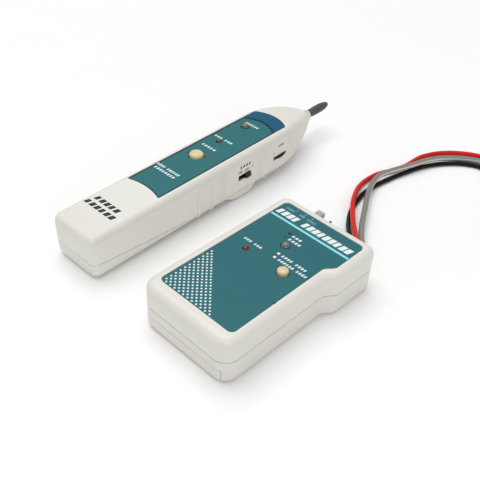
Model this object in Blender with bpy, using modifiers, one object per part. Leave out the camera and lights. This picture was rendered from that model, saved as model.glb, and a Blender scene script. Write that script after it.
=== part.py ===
import math

import bmesh
import bpy
from mathutils import Matrix, Vector

# All sizes are metres. The generator stands at the origin, its leads leave along +Y.
MM = 0.001
GAP = 0.0003

# tone generator
G_LEN = 0.105
G_WIDTH = 0.0593
G_STEP = 0.00425
G_STEP_Y0 = 0.0145
G_STEP_Y1 = 0.0225
G_TALL = 0.0278
G_SPLIT = 0.0139
G_WALL = 0.0020
G_REAR_R = 0.0080
G_FRONT_R = 0.0050
G_TOP_R = 0.0045
G_BASE_R = 0.0030
G_BOARD_Z = 0.0170

# cable probe, in its own frame: Y along the case, Z up from its underside
P_WIDTH = 0.0340
P_TALL = 0.0274
P_WALL = 0.0020
P_SPOT = (-0.0848, -0.0522, -0.00005)
P_YAW = math.radians(0.9)
P_PITCH = math.radians(1.4)
P_BOARD_Z = 0.0170
P_DOOR_END = 0.0730
P_BUTTON = (-0.0032, 0.0927)
P_TIP_Z = 0.0142

for item in list(bpy.data.objects):
    bpy.data.objects.remove(item, do_unlink=True)

KIT = bpy.data.collections.new("tone_probe_kit")
CUTTERS = bpy.data.collections.new("cutters")
bpy.context.scene.collection.children.link(KIT)
bpy.context.scene.collection.children.link(CUTTERS)


def make_material(name, color, roughness, metallic=0.0, alpha=1.0):
    material = bpy.data.materials.new(name)
    material.use_nodes = True
    shader = material.node_tree.nodes["Principled BSDF"]
    shader.inputs["Base Color"].default_value = (*color, 1.0)
    shader.inputs["Roughness"].default_value = roughness
    shader.inputs["Metallic"].default_value = metallic
    shader.inputs["Alpha"].default_value = alpha
    return material


CASE = make_material("case_abs", (0.74, 0.73, 0.66), 0.45)
TEAL = make_material("teal_panel", (0.03, 0.16, 0.19), 0.40)
BLUE = make_material("blue_lens", (0.01, 0.12, 0.28), 0.15)
CREAM = make_material("cream_button", (0.79, 0.69, 0.50), 0.45)
BLACK = make_material("black_plastic", (0.02, 0.02, 0.02), 0.50)
GREY = make_material("grey_knob", (0.55, 0.52, 0.48), 0.50)
TIP = make_material("tip_plastic", (0.07, 0.07, 0.075), 0.55)
RED_LED = make_material("red_led", (0.50, 0.01, 0.01), 0.20)
DARK_LED = make_material("dark_red_led", (0.12, 0.03, 0.03), 0.25)
OLIVE_LED = make_material("green_led", (0.20, 0.20, 0.01), 0.15)
CLEAR_LED = make_material("clear_led", (0.35, 0.40, 0.38), 0.10)
BOARD = make_material("circuit_board", (0.02, 0.20, 0.06), 0.50)
STEEL = make_material("plated_steel", (0.60, 0.60, 0.62), 0.30, 1.0)
CELL = make_material("battery_jacket", (0.05, 0.05, 0.06), 0.35)
CONE = make_material("speaker_cone", (0.10, 0.09, 0.08), 0.80)
RED_PVC = make_material("red_lead", (0.66, 0.04, 0.03), 0.45)
BLACK_PVC = make_material("black_lead", (0.01, 0.01, 0.01), 0.45)
GREY_PVC = make_material("grey_lead", (0.27, 0.26, 0.24), 0.50)
PLUG = make_material("plug_plastic", (0.70, 0.72, 0.72), 0.20)


def link(mesh, name, material=None, cutter=False):
    """Put a mesh into the scene as a part or as a cutter."""
    obj = bpy.data.objects.new(name, mesh)
    if cutter:
        CUTTERS.objects.link(obj)
        obj.hide_render = True
        obj.display_type = "WIRE"
    else:
        KIT.objects.link(obj)
        if material:
            mesh.materials.append(material)
    return obj


def curve_mesh(curve):
    """Turn a curve into a welded mesh."""
    holder = bpy.data.objects.new("outline", curve)
    KIT.objects.link(holder)
    graph = bpy.context.evaluated_depsgraph_get()
    mesh = bpy.data.meshes.new_from_object(holder.evaluated_get(graph))
    bpy.data.objects.remove(holder, do_unlink=True)
    work = bmesh.new()
    work.from_mesh(mesh)
    bmesh.ops.remove_doubles(work, verts=work.verts, dist=1e-6)
    bmesh.ops.recalc_face_normals(work, faces=work.faces)
    work.to_mesh(mesh)
    work.free()
    return mesh


def prism(name, points, low, high, material=None, cutter=False, axis="z"):
    """Extrude a flat outline between two heights along one axis."""
    curve = bpy.data.curves.new(name, "CURVE")
    curve.dimensions = "2D"
    curve.fill_mode = "BOTH"
    curve.extrude = (high - low) / 2
    spline = curve.splines.new("POLY")
    spline.points.add(len(points) - 1)
    for place, (a, b) in zip(spline.points, points):
        place.co = (a, b, 0.0, 1.0)
    spline.use_cyclic_u = True
    mesh = curve_mesh(curve)
    mesh.transform(Matrix.Translation((0, 0, (low + high) / 2)))
    if axis == "x":
        mesh.transform(Matrix(((0, 0, 1, 0), (1, 0, 0, 0), (0, 1, 0, 0), (0, 0, 0, 1))))
    if axis == "y":
        mesh.transform(Matrix(((1, 0, 0, 0), (0, 0, -1, 0), (0, 1, 0, 0), (0, 0, 0, 1))))
    return link(mesh, name, material, cutter)


def box(name, low, high, material=None, cutter=False):
    """Make a block from two opposite corners."""
    work = bmesh.new()
    bmesh.ops.create_cube(work, size=1.0)
    size = [b - a for a, b in zip(low, high)]
    middle = [(a + b) / 2 for a, b in zip(low, high)]
    bmesh.ops.scale(work, vec=size, verts=work.verts)
    bmesh.ops.translate(work, vec=middle, verts=work.verts)
    mesh = bpy.data.meshes.new(name)
    work.to_mesh(mesh)
    work.free()
    return link(mesh, name, material, cutter)


def rod(name, spot, low, high, r_low, material=None, cutter=False, r_high=None, axis="z", n=24):
    """Make a round bar or cone; spot gives the two coordinates across its axis."""
    work = bmesh.new()
    top = r_low if r_high is None else r_high
    bmesh.ops.create_cone(work, cap_ends=True, segments=n, radius1=r_low, radius2=top, depth=high - low)
    bmesh.ops.translate(work, vec=(0, 0, (low + high) / 2), verts=work.verts)
    if axis == "y":
        turn = Matrix(((1, 0, 0), (0, 0, 1), (0, -1, 0)))
        bmesh.ops.rotate(work, matrix=turn, verts=work.verts)
        bmesh.ops.translate(work, vec=(spot[0], 0, spot[1]), verts=work.verts)
    else:
        bmesh.ops.translate(work, vec=(spot[0], spot[1], 0), verts=work.verts)
    bmesh.ops.recalc_face_normals(work, faces=work.faces)
    mesh = bpy.data.meshes.new(name)
    work.to_mesh(mesh)
    work.free()
    return link(mesh, name, material, cutter)


def lathe(name, profile, spot, material=None, cutter=False, axis="z", steps=24):
    """Turn a profile of (radius, height) pairs listed from the top down."""
    work = bmesh.new()
    rings = [work.verts.new((r, 0, h)) for r, h in profile]
    for a, b in zip(rings, rings[1:]):
        work.edges.new((a, b))
    bmesh.ops.spin(work, geom=work.verts[:] + work.edges[:], cent=(0, 0, 0), axis=(0, 0, 1),
                   angle=math.tau, steps=steps, use_merge=True)
    bmesh.ops.remove_doubles(work, verts=work.verts, dist=1e-6)
    bmesh.ops.recalc_face_normals(work, faces=work.faces)
    if axis == "y":
        turn = Matrix(((1, 0, 0), (0, 0, 1), (0, -1, 0)))
        bmesh.ops.rotate(work, matrix=turn, verts=work.verts)
        bmesh.ops.translate(work, vec=(spot[0], 0, spot[1]), verts=work.verts)
    else:
        bmesh.ops.translate(work, vec=(spot[0], spot[1], 0), verts=work.verts)
    mesh = bpy.data.meshes.new(name)
    work.to_mesh(mesh)
    work.free()
    return link(mesh, name, material, cutter)


def boolean(obj, tools, kind="DIFFERENCE"):
    """Cut or join other solids with a part."""
    for tool in tools:
        step = obj.modifiers.new(kind.lower(), "BOOLEAN")
        step.operation = kind
        step.solver = "EXACT"
        step.object = tool
    return obj


def bevel(obj, width, segments=2, angle=50):
    """Round the sharp edges of a part."""
    step = obj.modifiers.new("round", "BEVEL")
    step.width = width
    step.segments = segments
    step.limit_method = "ANGLE"
    step.angle_limit = math.radians(angle)
    step.use_clamp_overlap = True
    return obj


def arc(cx, cy, radius, start, sweep, n):
    return [(cx + radius * math.cos(math.radians(start + sweep * i / n)),
             cy + radius * math.sin(math.radians(start + sweep * i / n))) for i in range(n + 1)]


def generator_outline(inset, n=5):
    """Plan of the generator, stepped out on the +X side near the lead end."""
    left = -G_WIDTH / 2 + inset
    right = G_WIDTH / 2 - inset
    wide = right + G_STEP
    rear = -G_LEN / 2 + inset
    front = G_LEN / 2 - inset
    rr = max(G_REAR_R - inset, 0.0008)
    fr = max(G_FRONT_R - inset, 0.0008)
    points = arc(wide - fr, front - fr, fr, 0, 90, n)
    points += arc(left + fr, front - fr, fr, 90, 90, n)
    points += arc(left + rr, rear + rr, rr, 180, 90, n)
    points += arc(right - rr, rear + rr, rr, 270, 90, n)
    for i in range(6):
        t = i / 5
        s = t * t * (3 - 2 * t)
        points.append((right + G_STEP * s, G_STEP_Y0 + (G_STEP_Y1 - G_STEP_Y0) * t))
    return points


def rounded(x0, x1, y0, y1, radius, n=4):
    points = arc(x1 - radius, y1 - radius, radius, 0, 90, n)
    points += arc(x0 + radius, y1 - radius, radius, 90, 90, n)
    points += arc(x0 + radius, y0 + radius, radius, 180, 90, n)
    points += arc(x1 - radius, y0 + radius, radius, 270, 90, n)
    return points


def apply_all(obj):
    """Bake the modifiers of a part into its mesh."""
    graph = bpy.context.evaluated_depsgraph_get()
    mesh = bpy.data.meshes.new_from_object(obj.evaluated_get(graph))
    work = bmesh.new()
    work.from_mesh(mesh)
    bmesh.ops.remove_doubles(work, verts=work.verts, dist=2e-6)
    bmesh.ops.dissolve_degenerate(work, edges=work.edges, dist=1e-6)
    work.to_mesh(mesh)
    work.free()
    old = obj.data
    obj.modifiers.clear()
    obj.data = mesh
    bpy.data.meshes.remove(old)
    return obj


# ---------------------------------------------------------------- generator
def generator_body(name, inset, cutter, low=0.0, high=G_TALL):
    body = prism(name, generator_outline(inset), low, high, CASE, cutter)
    return body


PANEL_TOP = G_TALL - 0.0003
PANEL_LOW = PANEL_TOP - 0.0007
PANEL_FLOOR = PANEL_LOW - 0.0002


def panel_outline(grow, n=4):
    """Plan of the teal panel; it steps out with the case."""
    left = -0.0239 - grow
    right = 0.0251 + grow
    wide = 0.0292 + grow
    rear = -0.0448 - grow
    front = 0.0467 + grow
    radius = 0.0030
    points = arc(wide - radius, front - radius, radius, 0, 90, n)
    points += arc(left + radius, front - radius, radius, 90, 90, n)
    points += arc(left + radius, rear + radius, radius, 180, 90, n)
    points += arc(right - radius, rear + radius, radius, 270, 90, n)
    for i in range(4):
        t = i / 3
        s = t * t * (3 - 2 * t)
        points.append((right + (wide - right) * s, 0.0175 + 0.0070 * t))
    return points


GEN_BUTTON = (0.0131, 0.0022)
GEN_RED = (-0.0119, 0.0019)
GEN_CLEAR = (0.0004, 0.0184)
GEN_HOLES = ((GEN_BUTTON, 0.0037), (GEN_RED, 0.0018), (GEN_CLEAR, 0.0028))
KNOB_X = (-0.0115, -0.0071)
KNOB_Z = (0.0189, 0.0224)
SLIDE_TRAVEL = 0.0070
LEAD_X = {"black": 0.0078, "red": 0.0114, "grey": 0.0154}
LEAD_Z = 0.0085
SCREW_SPOTS = (("gen_screw_left", (-0.0220, 0.0440)), ("gen_screw_right", (0.0265, 0.0440)))

shell_top = bevel(generator_body("gen_top_shell", 0.0, False), G_TOP_R, 4)
trim = box("cut_gen_low", (-0.1, -0.1, -0.02), (0.1, 0.1, G_SPLIT + GAP / 2), cutter=True)
hollow = prism("cut_gen_top_hollow", generator_outline(G_WALL), G_SPLIT - 0.002, G_TALL - 0.0032, cutter=True)
recess = prism("cut_gen_recess", panel_outline(0.00015), PANEL_FLOOR, G_TALL + 0.001, cutter=True)
boolean(shell_top, [trim, hollow, recess])
for index, (spot, radius) in enumerate(GEN_HOLES):
    hole = rod(f"cut_gen_hole_{index}", spot, 0.020, 0.030, radius, cutter=True, n=20)
    boolean(shell_top, [hole])
slot = box("cut_gen_slot", (KNOB_X[0] - GAP, 0.048, KNOB_Z[0] - GAP),
           (KNOB_X[1] + SLIDE_TRAVEL + GAP, 0.055, KNOB_Z[1] + GAP), cutter=True)
boolean(shell_top, [slot])
for name, spot in SCREW_SPOTS:
    boss = rod(f"join_{name}", spot, G_SPLIT + GAP, G_TALL - 0.0030, 0.0030, cutter=True, n=16)
    bore = rod(f"cut_{name}_bore", spot, 0.010, 0.0205, 0.00155, cutter=True, n=12)
    boolean(shell_top, [boss], "UNION")
    boolean(shell_top, [bore])

shell_low = bevel(generator_body("gen_bottom_shell", 0.0, False), G_BASE_R, 3)
trim = box("cut_gen_high", (-0.1, -0.1, G_SPLIT - GAP / 2), (0.1, 0.1, 0.05), cutter=True)
hollow = prism("cut_gen_low_hollow", generator_outline(G_WALL), G_WALL, G_SPLIT + 0.002, cutter=True)
boolean(shell_low, [trim, hollow])
DOOR_X = 0.0255
DOOR_Y = -0.0200
DOOR_Z = 0.0082
door_way = box("cut_gen_door_way", (-DOOR_X - GAP, -0.060, -0.002), (DOOR_X + GAP, DOOR_Y + GAP, 0.0025), cutter=True)
door_end = box("cut_gen_door_end", (-DOOR_X - GAP, -0.060, -0.002), (DOOR_X + GAP, -0.0470, DOOR_Z + GAP), cutter=True)
grommet_way = prism("cut_gen_grommet", rounded(0.0035, 0.0230, 0.0052, 0.0118, 0.0030),
                    -0.056, -0.048, cutter=True, axis="y")
boolean(shell_low, [door_way, door_end, grommet_way])
for name, spot in SCREW_SPOTS:
    head = rod(f"cut_{name}_head", spot, -0.001, 0.0030, 0.0027, cutter=True, n=16)
    post = rod(f"join_{name}_post", spot, 0.0010, G_SPLIT - GAP, 0.0040, cutter=True, n=16)
    shaft = rod(f"cut_{name}_shaft", spot, 0.002, 0.016, 0.00155, cutter=True, n=12)
    boolean(shell_low, [post], "UNION")
    boolean(shell_low, [head, shaft])

door = bevel(generator_body("gen_battery_door", 0.0, False), G_BASE_R, 3)
keep_a = box("cut_door_keep", (-DOOR_X, -0.060, -0.002), (DOOR_X, DOOR_Y, DOOR_Z), cutter=True)
scoop = prism("cut_door_scoop", generator_outline(G_WALL), G_WALL, 0.05, cutter=True)
boolean(door, [keep_a], "INTERSECT")
boolean(door, [scoop])

panel = prism("gen_panel", panel_outline(0.0), PANEL_LOW, PANEL_TOP, TEAL)
for index, (spot, radius) in enumerate(GEN_HOLES):
    hole = rod(f"cut_panel_hole_{index}", spot, 0.020, 0.030, radius, cutter=True, n=20)
    boolean(panel, [hole])

prism("gen_circuit_board", rounded(-0.0245, 0.0245, -0.0185, 0.0395, 0.0015, 2), G_BOARD_Z, G_BOARD_Z + 0.0016, BOARD)
BOARD_TOP = G_BOARD_Z + 0.0016 + 0.0001


def led(name, spot, radius, base, dome_top, material, steps=20):
    """A round LED: flange, barrel and dome."""
    profile = [(0.0, dome_top)]
    for i in range(1, 5):
        a = math.radians(90 - 22.5 * i)
        profile.append((radius * math.cos(a), dome_top - radius + radius * math.sin(a)))
    profile += [(radius, base + 0.0010), (radius * 1.14, base + 0.0010), (radius * 1.14, base), (0.0, base)]
    return lathe(name, profile, spot, material, steps=steps)


led("gen_line_led", GEN_RED, 0.0015, BOARD_TOP + 0.0030, G_TALL + 0.0008, RED_LED)
led("gen_status_led", GEN_CLEAR, 0.0025, BOARD_TOP + 0.0014, G_TALL + 0.0016, CLEAR_LED)

switch = box("gen_tone_switch", (GEN_BUTTON[0] - 0.0042, GEN_BUTTON[1] - 0.0042, BOARD_TOP),
             (GEN_BUTTON[0] + 0.0042, GEN_BUTTON[1] + 0.0042, BOARD_TOP + 0.0036), BLACK)
boolean(switch, [rod("cut_tone_switch", GEN_BUTTON, BOARD_TOP + 0.0008, 0.03, 0.0013, cutter=True, n=16)])
lathe("gen_tone_button", [(0.0, 0.0298), (0.0016, 0.0298), (0.0024, 0.0295), (0.0029, 0.0289), (0.0030, 0.0281),
                          (0.0030, 0.0241), (0.0010, 0.0241), (0.0010, 0.0212), (0.0, 0.0212)],
      GEN_BUTTON, CREAM)

slide_body = box("gen_function_switch", (-0.0155, 0.0425, 0.0170), (0.0035, 0.0500, 0.0243), BLACK)
boolean(slide_body, [box("cut_slide_way", (KNOB_X[0] - GAP, 0.0446, KNOB_Z[0] - GAP),
                         (KNOB_X[1] + SLIDE_TRAVEL + GAP, 0.055, KNOB_Z[1] + GAP), cutter=True)])
bevel(box("gen_function_knob", (KNOB_X[0], 0.0450, KNOB_Z[0]), (KNOB_X[1], 0.0603, KNOB_Z[1]), GREY), 0.0004, 1)
bezel = prism("gen_slot_bezel", rounded(-0.0130, 0.0016, 0.0172, 0.0238, 0.0008, 2), -0.0532, -0.0527, BLACK, axis="y")
boolean(bezel, [box("join_bezel_nub", (0.0004, 0.0529, 0.0200), (0.0016, 0.0550, 0.0243), cutter=True)], "UNION")
boolean(bezel, [box("cut_bezel_slot", (KNOB_X[0] - GAP, 0.052, KNOB_Z[0] - GAP),
                    (KNOB_X[1] + SLIDE_TRAVEL + GAP, 0.056, KNOB_Z[1] + GAP), cutter=True)])

box("gen_tone_chip", (-0.0170, -0.0120, BOARD_TOP), (0.0020, -0.0056, BOARD_TOP + 0.0035), BLACK)


def battery(name, low, long_axis):
    """Nine-volt block with its two snap studs."""
    span = (0.0485, 0.0265, 0.0175) if long_axis == "x" else (0.0265, 0.0485, 0.0175)
    reach = 0.0460
    high = [a + b for a, b in zip(low, span)]
    if long_axis == "x":
        high[0] = low[0] + reach
    else:
        high[1] = low[1] + reach
    block = box(name, low, high, CELL)
    bevel(block, 0.0015, 2)
    for sign, radius in ((-1, 0.0029), (1, 0.0040)):
        if long_axis == "x":
            stud = rod(f"join_{name}_{sign}", (0, 0), high[0] - 0.0005, low[0] + 0.0485, radius, cutter=True, n=12)
            turn = Matrix(((0, 0, 1, 0), (1, 0, 0, low[1] + 0.01325 + sign * 0.00635),
                           (0, 1, 0, low[2] + 0.00875), (0, 0, 0, 1)))
            stud.data.transform(turn)
        else:
            stud = rod(f"join_{name}_{sign}", (low[0] + 0.01325 + sign * 0.00635, low[2] + 0.00875),
                       high[1] - 0.0005, low[1] + 0.0485, radius, cutter=True, n=12, axis="y")
        boolean(block, [stud], "UNION")
    return block


battery("gen_battery", (-0.0260, -0.0480, 0.0026), "x")
box("gen_battery_snap", (0.0227, -0.0455, 0.0032), (0.0264, -0.0240, 0.0195), BLACK)

grommet = prism("gen_lead_grommet", rounded(0.0038, 0.0227, 0.0055, 0.0115, 0.0027), -0.0530, -0.0495, BLACK, axis="y")
boolean(grommet, [prism("join_grommet_flange", rounded(0.0026, 0.0239, 0.0043, 0.0127, 0.0038),
                        -0.0540, -0.0528, cutter=True, axis="y")], "UNION")
for colour, radius in (("black", 0.0024), ("red", 0.0024), ("grey", 0.0032)):
    sleeve = rod(f"join_sleeve_{colour}", (LEAD_X[colour], LEAD_Z), 0.0525, 0.0614, radius, cutter=True,
                 r_high=radius - 0.0007, axis="y", n=16)
    boolean(grommet, [sleeve], "UNION")

for name, spot in SCREW_SPOTS:
    lathe(name, [(0.0, 0.0195), (0.0009, 0.0195), (0.00125, 0.0185), (0.00125, 0.0028), (0.0024, 0.0028),
                 (0.0024, 0.0012), (0.0, 0.0012)], spot, STEEL, steps=12)

# ---------------------------------------------------------------- cable probe
TO_WORLD = (Matrix.Translation(P_SPOT) @ Matrix.Rotation(P_YAW, 4, "Z") @ Matrix.Rotation(P_PITCH, 4, "X"))

# stations along the case: y, half width, underside, top
STATIONS = ((0.0000, 0.0150, 0.0020, 0.0254), (0.0006, 0.0160, 0.0010, 0.0264), (0.0020, 0.0168, 0.0003, 0.0271),
            (0.0045, 0.0170, 0.0, 0.0274), (0.0600, 0.0170, 0.0, 0.0274), (0.0950, 0.0170, 0.0, 0.0274),
            (0.1000, 0.0170, -0.0007, 0.0274), (0.1045, 0.0170, -0.0022, 0.0274), (0.1090, 0.0170, -0.0026, 0.0274),
            (0.1150, 0.0170, -0.0027, 0.0274), (0.1190, 0.0170, -0.0022, 0.0274), (0.1225, 0.0170, -0.0006, 0.0274),
            (0.1240, 0.0170, 0.0, 0.0274), (0.1450, 0.0170, 0.0, 0.0274), (0.1500, 0.0168, 0.0, 0.0274),
            (0.1540, 0.0163, 0.0001, 0.0273), (0.1580, 0.0156, 0.0003, 0.0271), (0.1620, 0.0147, 0.0006, 0.0267),
            (0.1660, 0.0136, 0.0010, 0.0261), (0.1700, 0.0124, 0.0018, 0.0254), (0.1740, 0.0111, 0.0031, 0.0245),
            (0.1780, 0.0096, 0.0047, 0.0233), (0.1820, 0.0080, 0.0065, 0.0219), (0.1860, 0.0062, 0.0087, 0.0200),
            (0.1885, 0.0050, 0.0101, 0.0185), (0.1905, 0.0041, 0.0112, 0.0172))


def section(half, low, high, radius, drop=0.0, n=4):
    """Rounded rectangle across the case as (x, z) pairs; the belly has tighter lower corners."""
    r = min(radius, half * 0.98, (high - low) * 0.49)
    points = arc(half - r, high - r, r, 0, 90, n)
    points += arc(-half + r, high - r, r, 90, 90, n)
    tight = max(min(r, radius - drop), 0.0010)
    points += arc(-half + tight, low + tight, tight, 180, 90, n)
    points += arc(half - tight, low + tight, tight, 270, 90, n)
    return points


def station(y):
    """Half width, underside and top of the case at one place along it."""
    for a, b in zip(STATIONS, STATIONS[1:]):
        if a[0] <= y <= b[0]:
            t = (y - a[0]) / (b[0] - a[0])
            return tuple(p + (q - p) * t for p, q in zip(a[1:], b[1:]))
    return STATIONS[-1][1:]


def probe_loft(name, inset, y0, y1, cutter=False, material=None):
    """Loft the case through its stations, drawn in by the wall thickness."""
    y1 = min(y1, STATIONS[-1][0])
    places = [y0] + [row[0] for row in STATIONS if y0 + 0.0004 < row[0] < y1 - 0.0004] + [y1]
    rows = []
    for y in places:
        half, low, high = station(y)
        rows.append((y, half - inset, low + inset, high - inset * 1.4))
    work = bmesh.new()
    rings = []
    for y, half, low, high in rows:
        ring = [work.verts.new((x, y, z)) for x, z in section(half, low, high, max(0.0042 - inset, 0.0012),
                                                                max(0.0, inset - low))]
        rings.append(ring)
    for a, b in zip(rings, rings[1:]):
        for i in range(len(a)):
            j = (i + 1) % len(a)
            work.faces.new((a[i], a[j], b[j], b[i]))
    work.faces.new(list(reversed(rings[0])))
    work.faces.new(rings[-1])
    bmesh.ops.recalc_face_normals(work, faces=work.faces)
    mesh = bpy.data.meshes.new(name)
    work.to_mesh(mesh)
    work.free()
    return link(mesh, name, material, cutter)


def seam(offset):
    """Side view of everything below the seam between top shell and underside."""
    return [(-0.01, -0.01), (0.20, -0.01), (0.20, 0.0028 + offset), (0.0730, 0.0028 + offset),
            (0.0, 0.0100 + offset), (-0.01, 0.0110 + offset)]


RIB = 0.0008


def rib_outline(proud, limit):
    """Rib that follows the rounded underside up to the seam, as (x, z) pairs."""
    corner = 0.0042
    reach = 0.0170 - corner
    start = math.degrees(math.asin((corner - limit) / (corner + proud)))
    points = arc(reach, corner, corner + proud, -start, start - 90, 5)
    points += arc(-reach, corner, corner + proud, -90, start - 90, 5)
    inner = corner - 0.0010
    start = math.degrees(math.asin((corner - limit) / inner))
    points += arc(-reach, corner, inner, start - 180, 90 - start, 5)
    points += arc(reach, corner, inner, -90, 90 - start, 5)
    return points


P_SCREWS = (("probe_screw_rear", (0.0, 0.0795)), ("probe_screw_front", (-0.0060, 0.1495)))
top = probe_loft("probe_top_shell", 0.0, 0.0, 1.0, material=CASE)
inner_top = probe_loft("cut_probe_inner_top", P_WALL, 0.0020, 0.1800, cutter=True)
below = prism("cut_probe_below", seam(GAP / 2), -0.05, 0.05, cutter=True, axis="x")
boolean(top, [below, inner_top])
for index, y in enumerate((0.0752, 0.0860)):
    for side in (-1, 1):
        rib = box(f"join_probe_rib_{index}_{side}", (min(side * 0.0160, side * (0.0170 + RIB)), y - 0.0008, 0.0032),
                  (max(side * 0.0160, side * (0.0170 + RIB)), y + 0.0008, 0.0200), cutter=True)
        boolean(top, [rib], "UNION")

PP_TOP = P_TALL - 0.0003
PP_LOW = PP_TOP - 0.0007
PP_FLOOR = PP_LOW - 0.0002


def bowed(y_side, bulge, half, n=6, reverse=False):
    """An end line of the panel bowed towards the tip."""
    points = [(half * (1 - 2 * i / n), y_side + bulge * (1 - (1 - 2 * i / n) ** 2)) for i in range(n + 1)]
    return list(reversed(points)) if reverse else points


P_HALF = 0.0131
recess_line = bowed(0.1537, 0.0044, P_HALF + 0.00015) + bowed(0.0484, 0.0026, P_HALF + 0.00015, reverse=True)
boolean(top, [prism("cut_probe_recess", recess_line, PP_FLOOR, P_TALL + 0.002, cutter=True)])
P_HOLES = ((P_BUTTON, 0.0054), ((-0.0043, 0.1122), 0.0018), ((-0.0046, 0.1359), 0.0028))
for index, (spot, radius) in enumerate(P_HOLES):
    boolean(top, [rod(f"cut_probe_hole_{index}", spot, 0.020, 0.032, radius, cutter=True, n=20)])

MODE_Y = (0.1134, 0.1178)
MODE_Z = (0.0104, 0.0137)
MODE_TRAVEL = 0.0050
boolean(top, [box("cut_mode_slot", (0.012, MODE_Y[0] - MODE_TRAVEL - GAP, MODE_Z[0] - GAP),
                  (0.020, MODE_Y[1] + GAP, MODE_Z[1] + GAP), cutter=True)])
WHEEL = (0.0082, 0.1453)
WHEEL_Z = (0.0106, 0.0124)
boolean(top, [box("cut_wheel_slot", (0.0140, WHEEL[1] - 0.0060, WHEEL_Z[0] - GAP),
                  (0.0200, WHEEL[1] + 0.0060, WHEEL_Z[1] + GAP), cutter=True),
              rod("cut_wheel_room", WHEEL, WHEEL_Z[0] - GAP, WHEEL_Z[1] + GAP, 0.0104, cutter=True, n=32)])
for name, spot in P_SCREWS:
    boss = rod(f"join_{name}", spot, 0.0093, 0.0254, 0.0030, cutter=True, n=16)
    boolean(top, [boss], "UNION")
    boolean(top, [rod(f"cut_{name}_bore", spot, 0.008, 0.0180, 0.00155, cutter=True, n=12)])
boolean(top, [rod("cut_tip_bore", (0.0, P_TIP_Z), 0.170, 0.195, 0.0019, cutter=True, axis="y", n=16)])

low = probe_loft("probe_bottom_shell", 0.0, P_DOOR_END + GAP, 1.0, material=CASE)
inner_low = probe_loft("cut_probe_inner_low", P_WALL, P_DOOR_END + 0.0025, 0.1800, cutter=True)
above = prism("cut_probe_above", [(-0.02, 0.05), (-0.02, 0.0100), (0.0, 0.0100 - GAP / 2),
                                  (0.0730, 0.0028 - GAP / 2), (0.25, 0.0028 - GAP / 2), (0.25, 0.05)],
              -0.05, 0.05, cutter=True, axis="x")
boolean(low, [above, inner_low])
for index, y in enumerate((0.0752, 0.0860, 0.0950, 0.1330, 0.1438)):
    rib = prism(f"join_low_rib_{index}", rib_outline(RIB, 0.0026), -y - 0.0008, -y + 0.0008, cutter=True, axis="y")
    boolean(low, [rib], "UNION")

hatch = probe_loft("probe_battery_door", 0.0, 0.0, P_DOOR_END, material=CASE)
inner_hatch = probe_loft("cut_probe_inner_hatch", P_WALL, 0.0020, P_DOOR_END - 0.0020, cutter=True)
above_hatch = prism("cut_hatch_above", [(-0.02, 0.05), (-0.02, 0.0100), (0.0, 0.0100 - GAP / 2),
                                        (0.0730, 0.0028 - GAP / 2), (0.25, 0.0028 - GAP / 2), (0.25, 0.05)],
                    -0.05, 0.05, cutter=True, axis="x")
boolean(hatch, [above_hatch, inner_hatch])

panel = prism("probe_panel", bowed(0.1432, 0.0042, P_HALF) + bowed(0.0485, 0.0026, P_HALF, reverse=True),
              PP_LOW, PP_TOP, TEAL)
for index, (spot, radius) in enumerate(P_HOLES):
    boolean(panel, [rod(f"cut_probe_panel_{index}", spot, 0.020, 0.032, radius, cutter=True, n=20)])
prism("probe_lens", bowed(0.1535, 0.0044, P_HALF) + bowed(0.1434, 0.0042, P_HALF, reverse=True), PP_LOW, PP_TOP, BLUE)

P_TOPB = P_BOARD_Z + 0.0017
board = prism("probe_circuit_board", rounded(-0.0130, 0.0130, 0.0620, 0.1560, 0.0015, 2), P_BOARD_Z,
              P_BOARD_Z + 0.0016, BOARD)
boolean(board, [rod(f"cut_board_{name}", spot, 0.01, 0.03, 0.0034, cutter=True, n=16) for name, spot in P_SCREWS])
tact = box("probe_trace_switch", (P_BUTTON[0] - 0.0060, P_BUTTON[1] - 0.0060, P_TOPB),
           (P_BUTTON[0] + 0.0060, P_BUTTON[1] + 0.0060, P_TOPB + 0.0034), BLACK)
boolean(tact, [rod("cut_tact", P_BUTTON, P_TOPB + 0.0008, 0.03, 0.0018, cutter=True, n=16)])
lathe("probe_trace_button", [(0.0, 0.0292), (0.0018, 0.0291), (0.0031, 0.0287), (0.0040, 0.0281), (0.0043, 0.0272),
                             (0.0043, 0.0236), (0.0015, 0.0236), (0.0015, 0.0212), (0.0, 0.0212)],
      P_BUTTON, CREAM)
led("probe_battery_led", P_HOLES[1][0], 0.0015, P_TOPB + 0.0030, P_TALL + 0.0008, DARK_LED)
led("probe_signal_led", P_HOLES[2][0], 0.0025, P_TOPB + 0.0014, P_TALL + 0.0018, OLIVE_LED)
box("probe_amp_chip", (-0.0040, 0.0660, P_TOPB), (0.0024, 0.0758, P_TOPB + 0.0035), BLACK)

mode_body = box("probe_mode_switch", (0.0085, 0.1040, 0.0085), (0.0146, 0.1222, 0.0168), BLACK)
boolean(mode_body, [box("cut_mode_way", (0.0110, MODE_Y[0] - MODE_TRAVEL - GAP, MODE_Z[0] - GAP),
                        (0.0200, MODE_Y[1] + GAP, MODE_Z[1] + GAP), cutter=True)])
bevel(box("probe_mode_knob", (0.0114, MODE_Y[0], MODE_Z[0]), (0.0184, MODE_Y[1], MODE_Z[1]), BLACK), 0.0003, 1)

pot = rod("probe_volume_control", WHEEL, 0.0130, 0.0168, 0.0066, BLACK, n=20)
boolean(pot, [rod("join_pot_shaft", WHEEL, 0.0096, 0.0134, 0.0016, cutter=True, n=16)], "UNION")
wheel = rod("probe_volume_wheel", WHEEL, WHEEL_Z[0], WHEEL_Z[1], 0.0100, BLACK, n=48)
boolean(wheel, [rod("cut_wheel_bore", WHEEL, 0.009, 0.014, 0.0018, cutter=True, n=24)])

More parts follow.
